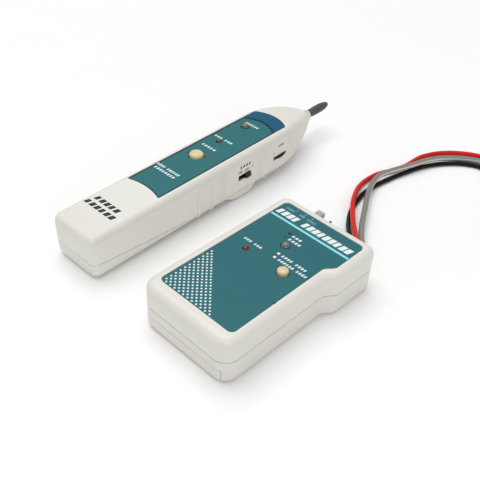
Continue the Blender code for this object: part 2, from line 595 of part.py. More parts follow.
battery("probe_battery", (-0.01325, 0.0066, 0.0035), "y")
box("probe_battery_snap", (-0.0115, 0.0554, 0.0045), (0.0115, 0.0592, 0.0200), BLACK)
lathe("probe_speaker", [(0.0, 0.0075), (0.0050, 0.0075), (0.0115, 0.0060), (0.0115, 0.0030), (0.0040, 0.0030),
                        (0.0040, 0.0010), (0.0, 0.0010)], (-0.0030, 0.1110), CONE)

lathe("probe_tip_collar", [(0.0030, 0.1922), (0.0036, 0.1916), (0.0036, 0.1908), (0.0024, 0.1908), (0.0024, 0.1922),
                           (0.0030, 0.1922)], (0.0, P_TIP_Z), CASE, axis="y", steps=16)
lathe("probe_tip", [(0.0, 0.2136), (0.0008, 0.2134), (0.0015, 0.2127), (0.0022, 0.2106), (0.0027, 0.2074),
                    (0.0029, 0.2035), (0.0028, 0.1980), (0.0026, 0.1928), (0.0023, 0.1926), (0.0023, 0.1909), (0.0017, 0.1909), (0.0017, 0.1720), (0.0, 0.1720)], (0.0, P_TIP_Z), TIP,
      axis="y", steps=16)

for name, spot in P_SCREWS:
    head = rod(f"cut_{name}_head", spot, -0.003, 0.0030, 0.0027, cutter=True, n=16)
    post = rod(f"join_{name}_post", spot, 0.0012, 0.0090, 0.0040, cutter=True, n=16)
    shaft = rod(f"cut_{name}_shaft", spot, 0.001, 0.012, 0.00155, cutter=True, n=12)
    boolean(low, [post], "UNION")
    boolean(low, [head, shaft])
    lathe(name, [(0.0, 0.0160), (0.0009, 0.0160), (0.00125, 0.0150), (0.00125, 0.0028),
                 (0.0024, 0.0028), (0.0024, 0.0012), (0.0, 0.0012)], spot, STEEL, steps=12)

PROBE_NAMES = [o.name for o in KIT.objects if o.name.startswith("probe_")]
GEN_NAMES = [o.name for o in KIT.objects if o.name.startswith("gen_")]
for name in GEN_NAMES + PROBE_NAMES:
    apply_all(bpy.data.objects[name])
for name in PROBE_NAMES:
    bpy.data.objects[name].data.transform(TO_WORLD)

# ---------------------------------------------------------------- leads
ROUTES = {
    "red": ((11.4, 62.3, 8.5), (11.4, 64.4, 8.5), (10.2, 68.4, 8.2), (6.8, 72.9, 7.4), (2.9, 77.4, 6.6), (-1.4, 82.0, 5.9),
            (-6.2, 87.6, 5.2), (-10.9, 93.5, 4.8), (-16.6, 101.4, 4.7), (-22.4, 112.0, 3.3), (-25.6, 120.2, 2.2),
            (-27.2, 129.0, 1.6), (-26.9, 138.3, 1.5), (-25.4, 144.2, 1.5), (-23.0, 150.0, 1.5), (-20.8, 157.4, 1.5),
            (-19.6, 165.0, 1.5), (-19.4, 173.0, 1.5), (-18.2, 181.5, 1.5), (-12.5, 193.5, 1.5), (-2.0, 204.5, 1.5),
            (11.0, 211.5, 1.5), (25.5, 213.0, 1.5), (39.5, 208.0, 1.5), (50.0, 198.5, 1.5), (57.5, 187.0, 1.9),
            (63.5, 176.5, 3.5)),
    "black": ((7.8, 62.3, 8.5), (7.8, 64.4, 8.3), (5.9, 69.2, 6.9), (0.2, 75.8, 5.0), (-4.4, 81.4, 3.5), (-8.5, 87.3, 2.3),
              (-12.7, 94.2, 1.6), (-15.6, 101.0, 1.5), (-17.7, 108.1, 1.5), (-19.4, 115.1, 1.5), (-20.0, 121.9, 1.5),
              (-19.6, 129.9, 1.5), (-18.8, 136.4, 1.5), (-17.2, 146.9, 1.5), (-15.1, 156.6, 1.5), (-12.9, 165.6, 1.5),
              (-9.4, 174.5, 1.5), (-3.5, 184.5, 1.5), (5.0, 193.5, 1.5), (14.5, 198.5, 1.5), (24.0, 197.5, 1.5),
              (31.5, 191.5, 1.5), (37.0, 182.0, 1.5), (42.0, 172.5, 1.5), (47.0, 163.5, 1.9), (52.5, 154.0, 3.5)),
    "grey": ((15.4, 62.3, 8.5), (15.4, 64.6, 8.2), (14.6, 68.0, 7.1), (12.0, 72.2, 6.1), (8.2, 76.8, 5.6),
             (1.6, 86.3, 5.4), (-2.4, 92.9, 5.3), (-6.5, 99.9, 5.3), (-13.0, 110.8, 5.2), (-18.5, 121.5, 5.1),
             (-21.1, 129.8, 5.1), (-21.9, 137.0, 5.1), (-20.1, 144.8, 5.1), (-17.6, 152.6, 5.1), (-14.9, 160.6, 5.1),
             (-13.2, 166.6, 5.1), (-11.0, 174.0, 5.0), (-6.6, 184.0, 4.2), (0.0, 194.5, 2.7), (9.0, 203.0, 1.9),
             (20.0, 206.0, 1.9), (31.0, 202.5, 1.9), (39.5, 194.0, 1.9), (46.5, 183.5, 2.3), (52.5, 173.0, 3.6)),
}
LEAD_R = {"red": 0.00145, "black": 0.00145, "grey": 0.00175}


def smooth(points, spacing):
    """Read evenly spaced points from a smooth curve through a route."""
    fine = []
    padded = [points[0]] + list(points) + [points[-1]]
    for i in range(1, len(padded) - 2):
        p0, p1, p2, p3 = (Vector(p) for p in padded[i - 1:i + 3])
        for k in range(16):
            t = k / 16
            fine.append(0.5 * ((2 * p1) + (p2 - p0) * t + (2 * p0 - 5 * p1 + 4 * p2 - p3) * t * t
                               + (3 * p1 - p0 - 3 * p2 + p3) * t * t * t))
    fine.append(Vector(points[-1]))
    total = sum((b - a).length for a, b in zip(fine, fine[1:]))
    count = max(2, round(total / spacing))
    step = total / count
    out = [fine[0]]
    run = 0.0
    for a, b in zip(fine, fine[1:]):
        size = (b - a).length
        while size > 0 and run + size >= step * len(out) - 1e-9 and len(out) < count:
            out.append(a.lerp(b, (step * len(out) - run) / size))
        run += size
    out.append(fine[-1])
    return out


LEAD_MATERIAL = {"red": RED_PVC, "black": BLACK_PVC, "grey": GREY_PVC}
for colour, route in ROUTES.items():
    line = smooth([tuple(c * MM for c in point) for point in route], LEAD_R[colour] * 2 * 2.2)
    curve = bpy.data.curves.new(f"{colour}_lead", "CURVE")
    curve.dimensions = "3D"
    curve.bevel_depth = LEAD_R[colour]
    curve.bevel_resolution = 2
    curve.use_fill_caps = True
    spline = curve.splines.new("POLY")
    spline.points.add(len(line) - 1)
    for place, point in zip(spline.points, line):
        place.co = (*point, 1.0)
    link(curve_mesh(curve), f"{colour}_lead", LEAD_MATERIAL[colour])


def end_frame(colour):
    """Frame at a lead's far end: X runs on along the lead, Z up."""
    a = Vector(ROUTES[colour][-2]) * MM
    b = Vector(ROUTES[colour][-1]) * MM
    run = Vector((b.x - a.x, b.y - a.y, 0)).normalized()
    side = Vector((-run.y, run.x, 0))
    return Matrix(((run.x, side.x, 0, b.x), (run.y, side.y, 0, b.y), (0, 0, 1, 0), (0, 0, 0, 1)))


# clip halves seen from above, in millimetres from the end of the lead
PIVOT_X = 19.0
BASE_LINE = ((1.2, -2.4), (6.0, -3.2), (14.0, -3.8), (24.0, -3.6), (34.0, -2.4), (41.0, -0.9), (42.0, -0.15),
             (39.5, -0.15), (33.0, -1.4), (24.0, -2.6), (14.0, -2.8), (6.0, -2.2), (1.2, -1.2))
JAW_LINE = ((42.0, 0.15), (41.0, 0.9), (34.0, 2.4), (24.0, 3.6), (17.0, 3.9), (9.0, 6.6), (3.5, 7.9), (3.5, 6.9),
            (9.0, 5.6), (16.6, 2.9), (24.0, 2.6), (33.0, 1.4), (39.5, 0.15))


def clip(colour, boot_material):
    """A crocodile clip lying on its side: two sheet halves, pin, spring and boot."""
    frame = end_frame(colour)
    made = []
    base = prism(f"{colour}_clip_base", [(x * MM, y * MM) for x, y in BASE_LINE], 0.0004, 0.0068, STEEL)
    jaw = prism(f"{colour}_clip_jaw", [(x * MM, y * MM) for x, y in JAW_LINE], 0.0004, 0.0068, STEEL)
    hinge = (PIVOT_X * MM, 0.0)
    for low, high in ((0.0004, 0.0012), (0.0060, 0.0068)):
        lug = box(f"join_{colour}_lug_{low:.4f}", (hinge[0] - 0.0018, -0.0033, low), (hinge[0] + 0.0018, 0.0018, high),
                  cutter=True)
        boolean(base, [lug], "UNION")
    for low, high in ((0.0015, 0.0023), (0.0049, 0.0057)):
        lug = box(f"join_{colour}_ear_{low:.4f}", (hinge[0] - 0.0018, -0.0018, low), (hinge[0] + 0.0018, 0.0033, high),
                  cutter=True)
        boolean(jaw, [lug], "UNION")
    for half, tag in ((base, "base"), (jaw, "jaw")):
        boolean(half, [rod(f"cut_{colour}_{tag}_eye", hinge, -0.001, 0.008, 0.00115, cutter=True, n=20)])
        made.append(half)
    tail = rod(f"join_{colour}_crimp", (0, 0), 0.0008, 0.0064, 0.0017, cutter=True, n=16)
    tail.data.transform(Matrix(((0, 0, 1, 0), (1, 0, 0, -0.0012), (0, 1, 0, 0.0036), (0, 0, 0, 1))))
    boolean(base, [tail], "UNION")
    made.append(lathe(f"{colour}_clip_pin", [(0.0, 0.0074), (0.0016, 0.0074), (0.0016, 0.0070), (0.0009, 0.0070),
                                             (0.0009, 0.0002), (0.0, 0.0002)], hinge, STEEL, steps=16))
    coil = bpy.data.curves.new(f"{colour}_clip_spring", "CURVE")
    coil.dimensions = "3D"
    coil.bevel_depth = 0.00025
    coil.bevel_resolution = 1
    coil.use_fill_caps = True
    turns = [(hinge[0] - 0.0060, -0.0022, 0.0029)]
    for i in range(25):
        a = math.radians(-90 - 30 * i)
        turns.append((hinge[0] + 0.0016 * math.cos(a), 0.0016 * math.sin(a), 0.0029 + 0.0014 * i / 24))
    turns.append((hinge[0] - 0.0042, 0.0012, 0.0043))
    spline = coil.splines.new("POLY")
    spline.points.add(len(turns) - 1)
    for place, point in zip(spline.points, turns):
        place.co = (*point, 1.0)
    made.append(link(curve_mesh(coil), f"{colour}_clip_spring", STEEL))
    for obj in made:
        apply_all(obj)
        obj.data.transform(frame)


clip("red", RED_PVC)
clip("black", BLACK_PVC)

plug_frame = end_frame("grey")
plug = box("grey_lead_plug", (0.0004, -0.0048, 0.0003), (0.0130, 0.0048, 0.0069), PLUG)
boolean(plug, [prism("join_plug_latch", [(0.0128, 0.0066), (0.0128, 0.0076), (0.0030, 0.0104), (0.0016, 0.0098),
                                         (0.0100, 0.0066)], -0.0016, 0.0016, cutter=True, axis="y")], "UNION")
apply_all(plug)
plug.data.transform(plug_frame)

for tool in list(CUTTERS.objects):
    bpy.data.objects.remove(tool, do_unlink=True)

# ---------------------------------------------------------------- moving pieces turn and slide from here
ORIGINS = {
    "gen_tone_button": (GEN_BUTTON[0], GEN_BUTTON[1], 0.0282),
    "gen_function_knob": (sum(KNOB_X) / 2, 0.0526, sum(KNOB_Z) / 2),
    "gen_battery_door": (0.0, -0.0362, 0.0010),
}
PROBE_ORIGINS = {
    "probe_trace_button": (*P_BUTTON, 0.0272),
    "probe_mode_knob": (0.0170, sum(MODE_Y) / 2, sum(MODE_Z) / 2),
    "probe_volume_wheel": (WHEEL[0], WHEEL[1], sum(WHEEL_Z) / 2),
    "probe_battery_door": (0.0, 0.0360, 0.0010),
    "probe_top_shell": (0.0, 0.0900, 0.0),
}


def set_origin(obj, point):
    obj.data.transform(Matrix.Translation(-Vector(point)))
    obj.location = point


for name, point in ORIGINS.items():
    set_origin(bpy.data.objects[name], point)
for name, point in PROBE_ORIGINS.items():
    set_origin(bpy.data.objects[name], TO_WORLD @ Vector(point))
for colour in ("red", "black"):
    set_origin(bpy.data.objects[f"{colour}_clip_jaw"], end_frame(colour) @ Vector((PIVOT_X * MM, 0.0, 0.0036)))
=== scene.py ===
import math

import bmesh
import bpy
from mathutils import Matrix, Vector


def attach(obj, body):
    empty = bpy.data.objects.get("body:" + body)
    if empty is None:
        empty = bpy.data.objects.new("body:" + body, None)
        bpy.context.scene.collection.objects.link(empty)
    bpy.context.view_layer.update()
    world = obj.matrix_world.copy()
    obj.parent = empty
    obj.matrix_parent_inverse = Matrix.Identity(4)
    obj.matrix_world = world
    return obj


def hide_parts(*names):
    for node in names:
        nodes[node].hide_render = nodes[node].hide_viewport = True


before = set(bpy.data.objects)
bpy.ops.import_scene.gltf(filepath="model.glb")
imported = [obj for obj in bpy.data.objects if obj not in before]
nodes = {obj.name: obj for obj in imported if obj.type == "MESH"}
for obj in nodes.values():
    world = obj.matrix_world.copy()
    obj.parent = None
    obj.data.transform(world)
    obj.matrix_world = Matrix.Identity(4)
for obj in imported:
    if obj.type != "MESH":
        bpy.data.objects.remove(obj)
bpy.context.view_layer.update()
mm = 0.001  # drawings below are in millimetres

# tone generator, seen from above; it stands on z = 0 and the leads leave along +Y
gen = {"length": 105.0, "width": 59.3, "step": 4.25, "stepFrom": 14.5, "stepTo": 22.5, "tall": 27.8,
       "split": 13.9, "wall": 2.0, "rearCorner": 8.0, "frontCorner": 5.0, "topRound": 4.5, "baseRound": 3.2,
       "gap": 0.3}
# cable tracer in its own frame: Y runs along the case from the rear, Z up from the underside
tracer = {"place": (-84.8, -52.2, -0.05), "yaw": 0.9, "pitch": 1.4, "wall": 2.0, "round": 4.2, "tall": 27.4,
          "doorEnd": 73.0, "gap": 0.3, "panelHalf": 13.1, "side": 17.0, "seamLow": 2.8, "seamHigh": 10.0,
          "noseHeight": 14.2}
probePlace = (Matrix.Translation([v * mm for v in tracer["place"]])
              @ Matrix.Rotation(math.radians(tracer["yaw"]), 4, "Z")
              @ Matrix.Rotation(math.radians(tracer["pitch"]), 4, "X"))


# ---- camera and studio
view = {"place": (0.176749, -0.207056, 0.265391), "right": (0.710700, 0.702281, 0.041328),
        "up": (-0.470944, 0.431304, 0.769538), "lens": 54.78, "sensor": 36.0}


def makeCamera(view):
    data = bpy.data.cameras.new("studioCamera")
    data.lens = view["lens"]
    data.sensor_width = view["sensor"]
    data.clip_start = 0.01
    holder = bpy.data.objects.new("studioCamera", data)
    bpy.context.scene.collection.objects.link(holder)
    right, up = Vector(view["right"]), Vector(view["up"])
    back = right.cross(up)
    turn = Matrix((right, up, back)).transposed().to_4x4()
    holder.matrix_world = Matrix.Translation(view["place"]) @ turn
    bpy.context.scene.camera = holder


def hexToLinear(code):
    parts = [int(code[i:i + 2], 16) / 255 for i in (1, 3, 5)]
    return tuple(c / 12.92 if c <= 0.04045 else ((c + 0.055) / 1.055) ** 2.4 for c in parts) + (1.0,)


def addNode(tree, kind, settings=None, links=None):
    node = tree.nodes.new(kind)
    for key, value in (settings or {}).items():
        setattr(node, key, value)
    for key, value in (links or {}).items():
        if isinstance(value, bpy.types.NodeSocket):
            tree.links.new(value, node.inputs[key])
        else:
            node.inputs[key].default_value = value
    return node


def newMaterial(name):
    material = bpy.data.materials.new(name)
    material.use_nodes = True
    tree = material.node_tree
    return material, tree, tree.nodes["Principled BSDF"]


def perMetre(size):
    return 1.0 / (size * mm)  # texture scale for a pattern of this size in millimetres


# every surface: colour drift, fine grain in the bump, drift in the gloss, rubbed edges
def makeSurface(name, look):
    material, tree, shader = newMaterial(name)
    place = addNode(tree, "ShaderNodeTexCoord").outputs["Object"]
    drift = addNode(tree, "ShaderNodeTexNoise", links={"Vector": place, "Detail": 4.0, "Roughness": 0.55,
                                                       "Scale": perMetre(look.get("drift", 14.0))})
    tone = addNode(tree, "ShaderNodeMix", {"data_type": "RGBA"}, {0: drift.outputs["Fac"]})
    tone.inputs[6].default_value = hexToLinear(look["colour"])
    tone.inputs[7].default_value = hexToLinear(look["second"])
    colour = tone.outputs[2]
    if "worn" in look:
        bend = addNode(tree, "ShaderNodeNewGeometry").outputs["Pointiness"]
        edge = addNode(tree, "ShaderNodeMapRange", links={"Value": bend, "From Min": 0.52, "From Max": 0.60,
                                                          "To Min": 0.0, "To Max": look.get("wear", 0.5)})
        rub = addNode(tree, "ShaderNodeMix", {"data_type": "RGBA"}, {0: edge.outputs["Result"], 6: colour})
        rub.inputs[7].default_value = hexToLinear(look["worn"])
        colour = rub.outputs[2]
    tree.links.new(colour, shader.inputs["Base Color"])
    grain = addNode(tree, "ShaderNodeTexNoise", links={"Vector": place, "Detail": 3.0,
                                                       "Scale": perMetre(look["grain"])})
    height = grain.outputs["Fac"]
    if "pits" in look:
        pits = addNode(tree, "ShaderNodeTexVoronoi", links={"Vector": place, "Scale": perMetre(look["pits"])})
        height = addNode(tree, "ShaderNodeMath", {"operation": "ADD"},
                         {0: height, 1: pits.outputs["Distance"]}).outputs[0]
    bump = addNode(tree, "ShaderNodeBump", links={"Height": height, "Strength": look.get("strength", 0.5),
                                                  "Distance": look["depth"] * mm})
    tree.links.new(bump.outputs["Normal"], shader.inputs["Normal"])
    gloss = addNode(tree, "ShaderNodeMapRange", links={"Value": drift.outputs["Fac"], "From Min": 0.3,
                                                       "From Max": 0.7, "To Min": look["rough"] - 0.04,
                                                       "To Max": look["rough"] + 0.05})
    tree.links.new(gloss.outputs["Result"], shader.inputs["Roughness"])
    shader.inputs["Metallic"].default_value = look.get("metal", 0.0)
    if not look.get("metal"):
        shader.inputs["IOR"].default_value = look.get("ior", 1.5)
    shader.inputs["Specular IOR Level"].default_value = look.get("shine", 0.5)
    shader.inputs["Coat Weight"].default_value = look.get("coat", 0.0)
    shader.inputs["Coat Roughness"].default_value = 0.12
    shader.inputs["Transmission Weight"].default_value = look.get("clear", 0.0)
    return material


def ink(colour, second, drift=2.0, rough=0.50, **more):
    # screen or pad printing: thin, flat, a little matt
    return {"colour": colour, "second": second, "drift": drift, "grain": 0.15, "depth": 0.006, "rough": rough,
            **more}


def epoxy(colour, second, **more):
    # clear casting resin of an LED: smooth and glassy
    return {"colour": colour, "second": second, "depth": 0.004, "strength": 0.3, "ior": 1.55, **more}


looks = {
    # ABS from a spark-eroded mould: satin, warm off-white, edges a little polished by hands
    "mouldedAbsIvory": {"colour": "#E3E1D9", "second": "#DDDBD2", "worn": "#ECEBE4", "wear": 0.35,
        "drift": 22.0, "grain": 0.35, "pits": 0.5, "depth": 0.012, "strength": 0.35, "rough": 0.42,
        "ior": 1.53},
    # polycarbonate overlay printed from behind in teal, with a velvet face
    "printedPolycarbonateTeal": {"colour": "#1E6870", "second": "#1A6068", "shine": 0.25, "drift": 9.0,
        "grain": 0.22, "depth": 0.006, "strength": 0.4, "rough": 0.44, "ior": 1.585},
    "printedPolycarbonateSea": {"colour": "#226E72", "second": "#1D666B", "shine": 0.25, "drift": 9.0,
        "grain": 0.22, "depth": 0.006, "strength": 0.4, "rough": 0.42, "ior": 1.585},
    # tinted acrylic window: smooth, deep blue
    "castAcrylicBlue": {"colour": "#0A597B", "second": "#084E6E", "drift": 7.0, "grain": 1.8, "depth": 0.01,
        "strength": 0.2, "rough": 0.28, "ior": 1.49, "shine": 0.25},
    "mouldedAbsCream": {"colour": "#DFCEA8", "second": "#D7C59D", "worn": "#F0E7D0", "wear": 0.4,
        "drift": 3.0, "grain": 0.18, "depth": 0.008, "strength": 0.4, "rough": 0.4, "ior": 1.53},
    "mouldedNylonBlack": {"colour": "#121213", "second": "#0A0A0B", "worn": "#3A3A3C", "wear": 0.5,
        "drift": 4.0, "grain": 0.2, "depth": 0.01, "rough": 0.45, "ior": 1.53, "shine": 0.35},
    "mouldedAcetalGrey": {"colour": "#A9A79F", "second": "#9E9C94", "worn": "#CFCCC5", "wear": 0.5,
        "drift": 3.0, "grain": 0.25, "depth": 0.008, "strength": 0.4, "rough": 0.38, "ior": 1.48},
    # carbon-filled plastic that picks up the signal: dull dark grey with rubbed lighter rings
    "mouldedCarbonPlastic": {"colour": "#4B4B4E", "second": "#3D3D40", "worn": "#68686B", "wear": 0.6,
        "drift": 2.2, "grain": 0.25, "pits": 0.7, "depth": 0.02, "rough": 0.48, "ior": 1.55},
    "castEpoxyRed": epoxy("#A60F13", "#860A0E", drift=1.2, grain=0.8, rough=0.16, coat=0.2, clear=0.2),
    "castEpoxyDarkRed": epoxy("#55272A", "#3E1A1C", drift=1.2, grain=0.8, rough=0.14, coat=0.6, clear=0.2),
    "castEpoxyOlive": epoxy("#77740C", "#484A07", drift=1.6, grain=0.9, rough=0.1, coat=1.0, clear=0.08),
    "castEpoxyClear": epoxy("#A9A4A1", "#8C8583", drift=1.6, grain=0.9, rough=0.1, coat=0.6, clear=0.55),
    "etchedFibreglassGreen": {"colour": "#1F6B3A", "second": "#18572F", "drift": 2.5, "grain": 0.4,
        "depth": 0.01, "rough": 0.35, "ior": 1.55, "coat": 0.3},
    "platedNickelSteel": {"colour": "#C9C8C4", "second": "#B4B3AF", "worn": "#DEDDDA", "wear": 0.6,
        "drift": 2.0, "grain": 0.3, "depth": 0.008, "strength": 0.4, "rough": 0.26, "metal": 1.0},
    "lacqueredSteelJacket": {"colour": "#23262B", "second": "#1A1C20", "worn": "#8A8C90", "wear": 0.5,
        "drift": 10.0, "grain": 0.5, "depth": 0.006, "strength": 0.3, "rough": 0.3, "ior": 1.5, "coat": 0.5},
    "pressedPaperDark": {"colour": "#3B3733", "second": "#2A2724", "drift": 1.5, "grain": 0.25, "depth": 0.04,
        "strength": 0.7, "rough": 0.85, "ior": 1.45},
    # soft PVC drawn over stranded copper: faint waviness from the strands below
    "extrudedPvcRed": {"colour": "#DA1B17", "second": "#C91714", "drift": 9.0, "grain": 1.1, "depth": 0.03,
        "rough": 0.42, "ior": 1.53, "shine": 0.25},
    "extrudedPvcBlack": {"colour": "#0B090A", "second": "#060405", "drift": 9.0, "grain": 1.1, "depth": 0.03,
        "rough": 0.42, "ior": 1.53, "shine": 0.18},
    "mouldedPolycarbonateClear": {"colour": "#E4ECEB", "second": "#D5E0DF", "drift": 5.0, "grain": 1.0,
        "depth": 0.006, "strength": 0.3, "rough": 0.08, "ior": 1.585, "clear": 0.85},
    "screenInkWhite": ink("#E9F1F0", "#DCE8E8"),
    "screenInkAqua": ink("#9BE3EC", "#8AD8E4", drift=4.0),
    # painted shade for the dark line round the rim of the tracer panel
    "paintedRimShade": ink("#103A3F", "#0D3236", rough=0.46, shine=0.3),
    "screenInkMuted": ink("#7FB6BC", "#6FA7AE"),
    "padInkBlack": ink("#17171A", "#0E0E10", rough=0.42),
    "padInkGreen": ink("#0C5A3C", "#0A4B32", rough=0.42),
}
stuff = {name: makeSurface(name, look) for name, look in looks.items()}


# The grey lead is two-core; a painted highlight, a lighter band, runs along one side of its jacket.
def makePvcWithPaintedHighlight(name, look):
    material = makeSurface(name, look)
    tree = material.node_tree
    shader = tree.nodes["Principled BSDF"]
    around = addNode(tree, "ShaderNodeUVMap", {"uv_map": "around"}).outputs["UV"]
    side = addNode(tree, "ShaderNodeSeparateXYZ", links={"Vector": around}).outputs["X"]
    ramp = addNode(tree, "ShaderNodeValToRGB", links={"Fac": side})
    ramp.color_ramp.elements[0].position = 0.12
    ramp.color_ramp.elements[0].color = (0, 0, 0, 1)
    ramp.color_ramp.elements[1].position = 0.15
    ramp.color_ramp.elements[1].color = (1, 1, 1, 1)
    back = ramp.color_ramp.elements.new(0.22)
    back.color = (1, 1, 1, 1)
    last = ramp.color_ramp.elements.new(0.25)
    last.color = (0, 0, 0, 1)
    under = shader.inputs["Base Color"].links[0].from_socket
    blend = addNode(tree, "ShaderNodeMix", {"data_type": "RGBA"}, {0: ramp.outputs["Color"], 6: under})
    # painted highlight colour for the lighter band along one side
    blend.inputs[7].default_value = hexToLinear(look["paintedHighlight"])
    tree.links.new(blend.outputs[2], shader.inputs["Base Color"])
    return material


# grey jacket with a painted highlight band along one side
stuff["extrudedPvcGrey"] = makePvcWithPaintedHighlight("extrudedPvcGrey", {
    "colour": "#8B8982", "second": "#7D7B75", "paintedHighlight": "#CBC8C1", "drift": 9.0, "grain": 1.1, "depth": 0.03,
    "strength": 0.5, "rough": 0.44, "ior": 1.53, "shine": 0.35})
print("materials made:", len(stuff))


# ---- mesh tools
def linkPiece(name, mesh, material=None):
    piece = bpy.data.objects.new(name, mesh)
    bpy.context.scene.collection.objects.link(piece)
    if material:
        mesh.materials.append(stuff[material])
    return piece


def fromRings(name, rings, closed=True, material=None):
    # joins equal rings of points into a skin, with flat ends
    work = bmesh.new()
    rows = [[work.verts.new([c * mm for c in point]) for point in ring] for ring in rings]
    for a, b in zip(rows, rows[1:]):
        for i in range(len(a)):
            j = (i + 1) % len(a)
            work.faces.new((a[i], a[j], b[j], b[i]))
    if closed:
        work.faces.new(list(reversed(rows[0])))
        work.faces.new(rows[-1])
    bmesh.ops.recalc_face_normals(work, faces=work.faces)
    mesh = bpy.data.meshes.new(name)
    work.to_mesh(mesh)
    work.free()
    return linkPiece(name, mesh, material)


def prism(name, outline, low, high, material=None, axis="z", edge=0.0):
    # flat outline pushed along an axis; edge rounds its rim
    if edge:
        middle = [sum(p[k] for p in outline) / len(outline) for k in (0, 1)]
        reach = [max(abs(p[k] - middle[k]) for p in outline) for k in (0, 1)]
        small = [tuple(middle[k] + (p[k] - middle[k]) * (1 - edge / reach[k]) for k in (0, 1))
                 for p in outline]
        between = [tuple((a[k] + 2 * b[k]) / 3 for k in (0, 1)) for a, b in zip(small, outline)]
        layers = ((low, small), (low + edge, outline), (high - edge, outline), (high - edge * 0.3, between),
                  (high, small))
    else:
        layers = ((low, outline), (high, outline))
    order = {"z": lambda a, b, h: (a, b, h), "x": lambda a, b, h: (h, a, b),
             "y": lambda a, b, h: (a, h, b)}[axis]
    return fromRings(name, [[order(a, b, h) for a, b in flat] for h, flat in layers], material=material)


def block(name, low, high, material=None, edge=0.0):
    work = bmesh.new()
    bmesh.ops.create_cube(work, size=mm)
    bmesh.ops.scale(work, vec=[b - a for a, b in zip(low, high)], verts=work.verts)
    bmesh.ops.translate(work, vec=[(a + b) / 2 * mm for a, b in zip(low, high)], verts=work.verts)
    if edge:
        bmesh.ops.bevel(work, geom=work.edges[:], offset=edge * mm, segments=3, profile=0.5, affect="EDGES")
    mesh = bpy.data.meshes.new(name)
    work.to_mesh(mesh)
    work.free()
    return linkPiece(name, mesh, material)


def lathe(name, profile, spot, material=None, axis="z", steps=48):
    # profile is (radius, height) from the top down, radius 0 at both ends
    work = bmesh.new()
    rings = [work.verts.new((r * mm, 0, h * mm)) for r, h in profile]
    for a, b in zip(rings, rings[1:]):
        work.edges.new((a, b))
    bmesh.ops.spin(work, geom=work.verts[:] + work.edges[:], cent=(0, 0, 0), axis=(0, 0, 1),
                   angle=math.tau, steps=steps, use_merge=True)
    bmesh.ops.remove_doubles(work, verts=work.verts, dist=1e-7)
    bmesh.ops.recalc_face_normals(work, faces=work.faces)
    if axis == "y":
        bmesh.ops.rotate(work, matrix=Matrix(((1, 0, 0), (0, 0, 1), (0, -1, 0))), verts=work.verts)
        bmesh.ops.translate(work, vec=(spot[0] * mm, 0, spot[1] * mm), verts=work.verts)
        bmesh.ops.recalc_face_normals(work, faces=work.faces)
    else:
        bmesh.ops.translate(work, vec=(spot[0] * mm, spot[1] * mm, 0), verts=work.verts)
    mesh = bpy.data.meshes.new(name)
    work.to_mesh(mesh)
    work.free()
    return linkPiece(name, mesh, material)


def rod(name, spot, low, high, radius, axis="z", steps=48):
    return lathe(name, [(0, high), (radius, high), (radius, low), (0, low)], spot, axis=axis, steps=steps)


def realise(piece):
    graph = bpy.context.evaluated_depsgraph_get()
    mesh = bpy.data.meshes.new_from_object(piece.evaluated_get(graph))
    piece.modifiers.clear()
    old = piece.data
    piece.data = mesh
    bpy.data.meshes.remove(old)


def carve(piece, tools, kind="DIFFERENCE"):
    for tool in tools:
        step = piece.modifiers.new("carve", "BOOLEAN")
        step.operation = kind
        step.solver = "EXACT"
        step.object = tool
    realise(piece)
    for tool in tools:
        bpy.data.objects.remove(tool, do_unlink=True)


def smoothOff(piece, angle=32.0, edge=0.0):
    # rounds the cut edges, then shades curves smooth and flats flat
    if edge:
        step = piece.modifiers.new("edges", "BEVEL")
        step.width = edge * mm
        step.segments = 2
        step.limit_method = "ANGLE"
        step.angle_limit = math.radians(42)
        step.use_clamp_overlap = True
        realise(piece)
    mesh = piece.data
    for face in mesh.polygons:
        face.use_smooth = True
    mesh.set_sharp_from_angle(angle=math.radians(angle))
    step = piece.modifiers.new("normals", "WEIGHTED_NORMAL")
    step.keep_sharp = True
    realise(piece)


def settle(piece, body, replaced=(), onTracer=False, angle=32.0, edge=0.0):
    # shades a finished piece, puts it in place and lets it ride on its body
    if onTracer:
        piece.data.transform(probePlace)
    smoothOff(piece, angle, edge)
    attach(piece, body)
    if replaced:
        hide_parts(*replaced)
    return piece


def arc(cx, cy, radius, start, sweep, steps):
    return [(cx + radius * math.cos(math.radians(start + sweep * i / steps)),
             cy + radius * math.sin(math.radians(start + sweep * i / steps))) for i in range(steps + 1)]


def roundedBox(x0, x1, y0, y1, radius, steps=6):
    return (arc(x1 - radius, y1 - radius, radius, 0, 90, steps)
            + arc(x0 + radius, y1 - radius, radius, 90, 90, steps)
            + arc(x0 + radius, y0 + radius, radius, 180, 90, steps)
            + arc(x1 - radius, y0 + radius, radius, 270, 90, steps))


def ease(t):
    return t * t * (3 - 2 * t)


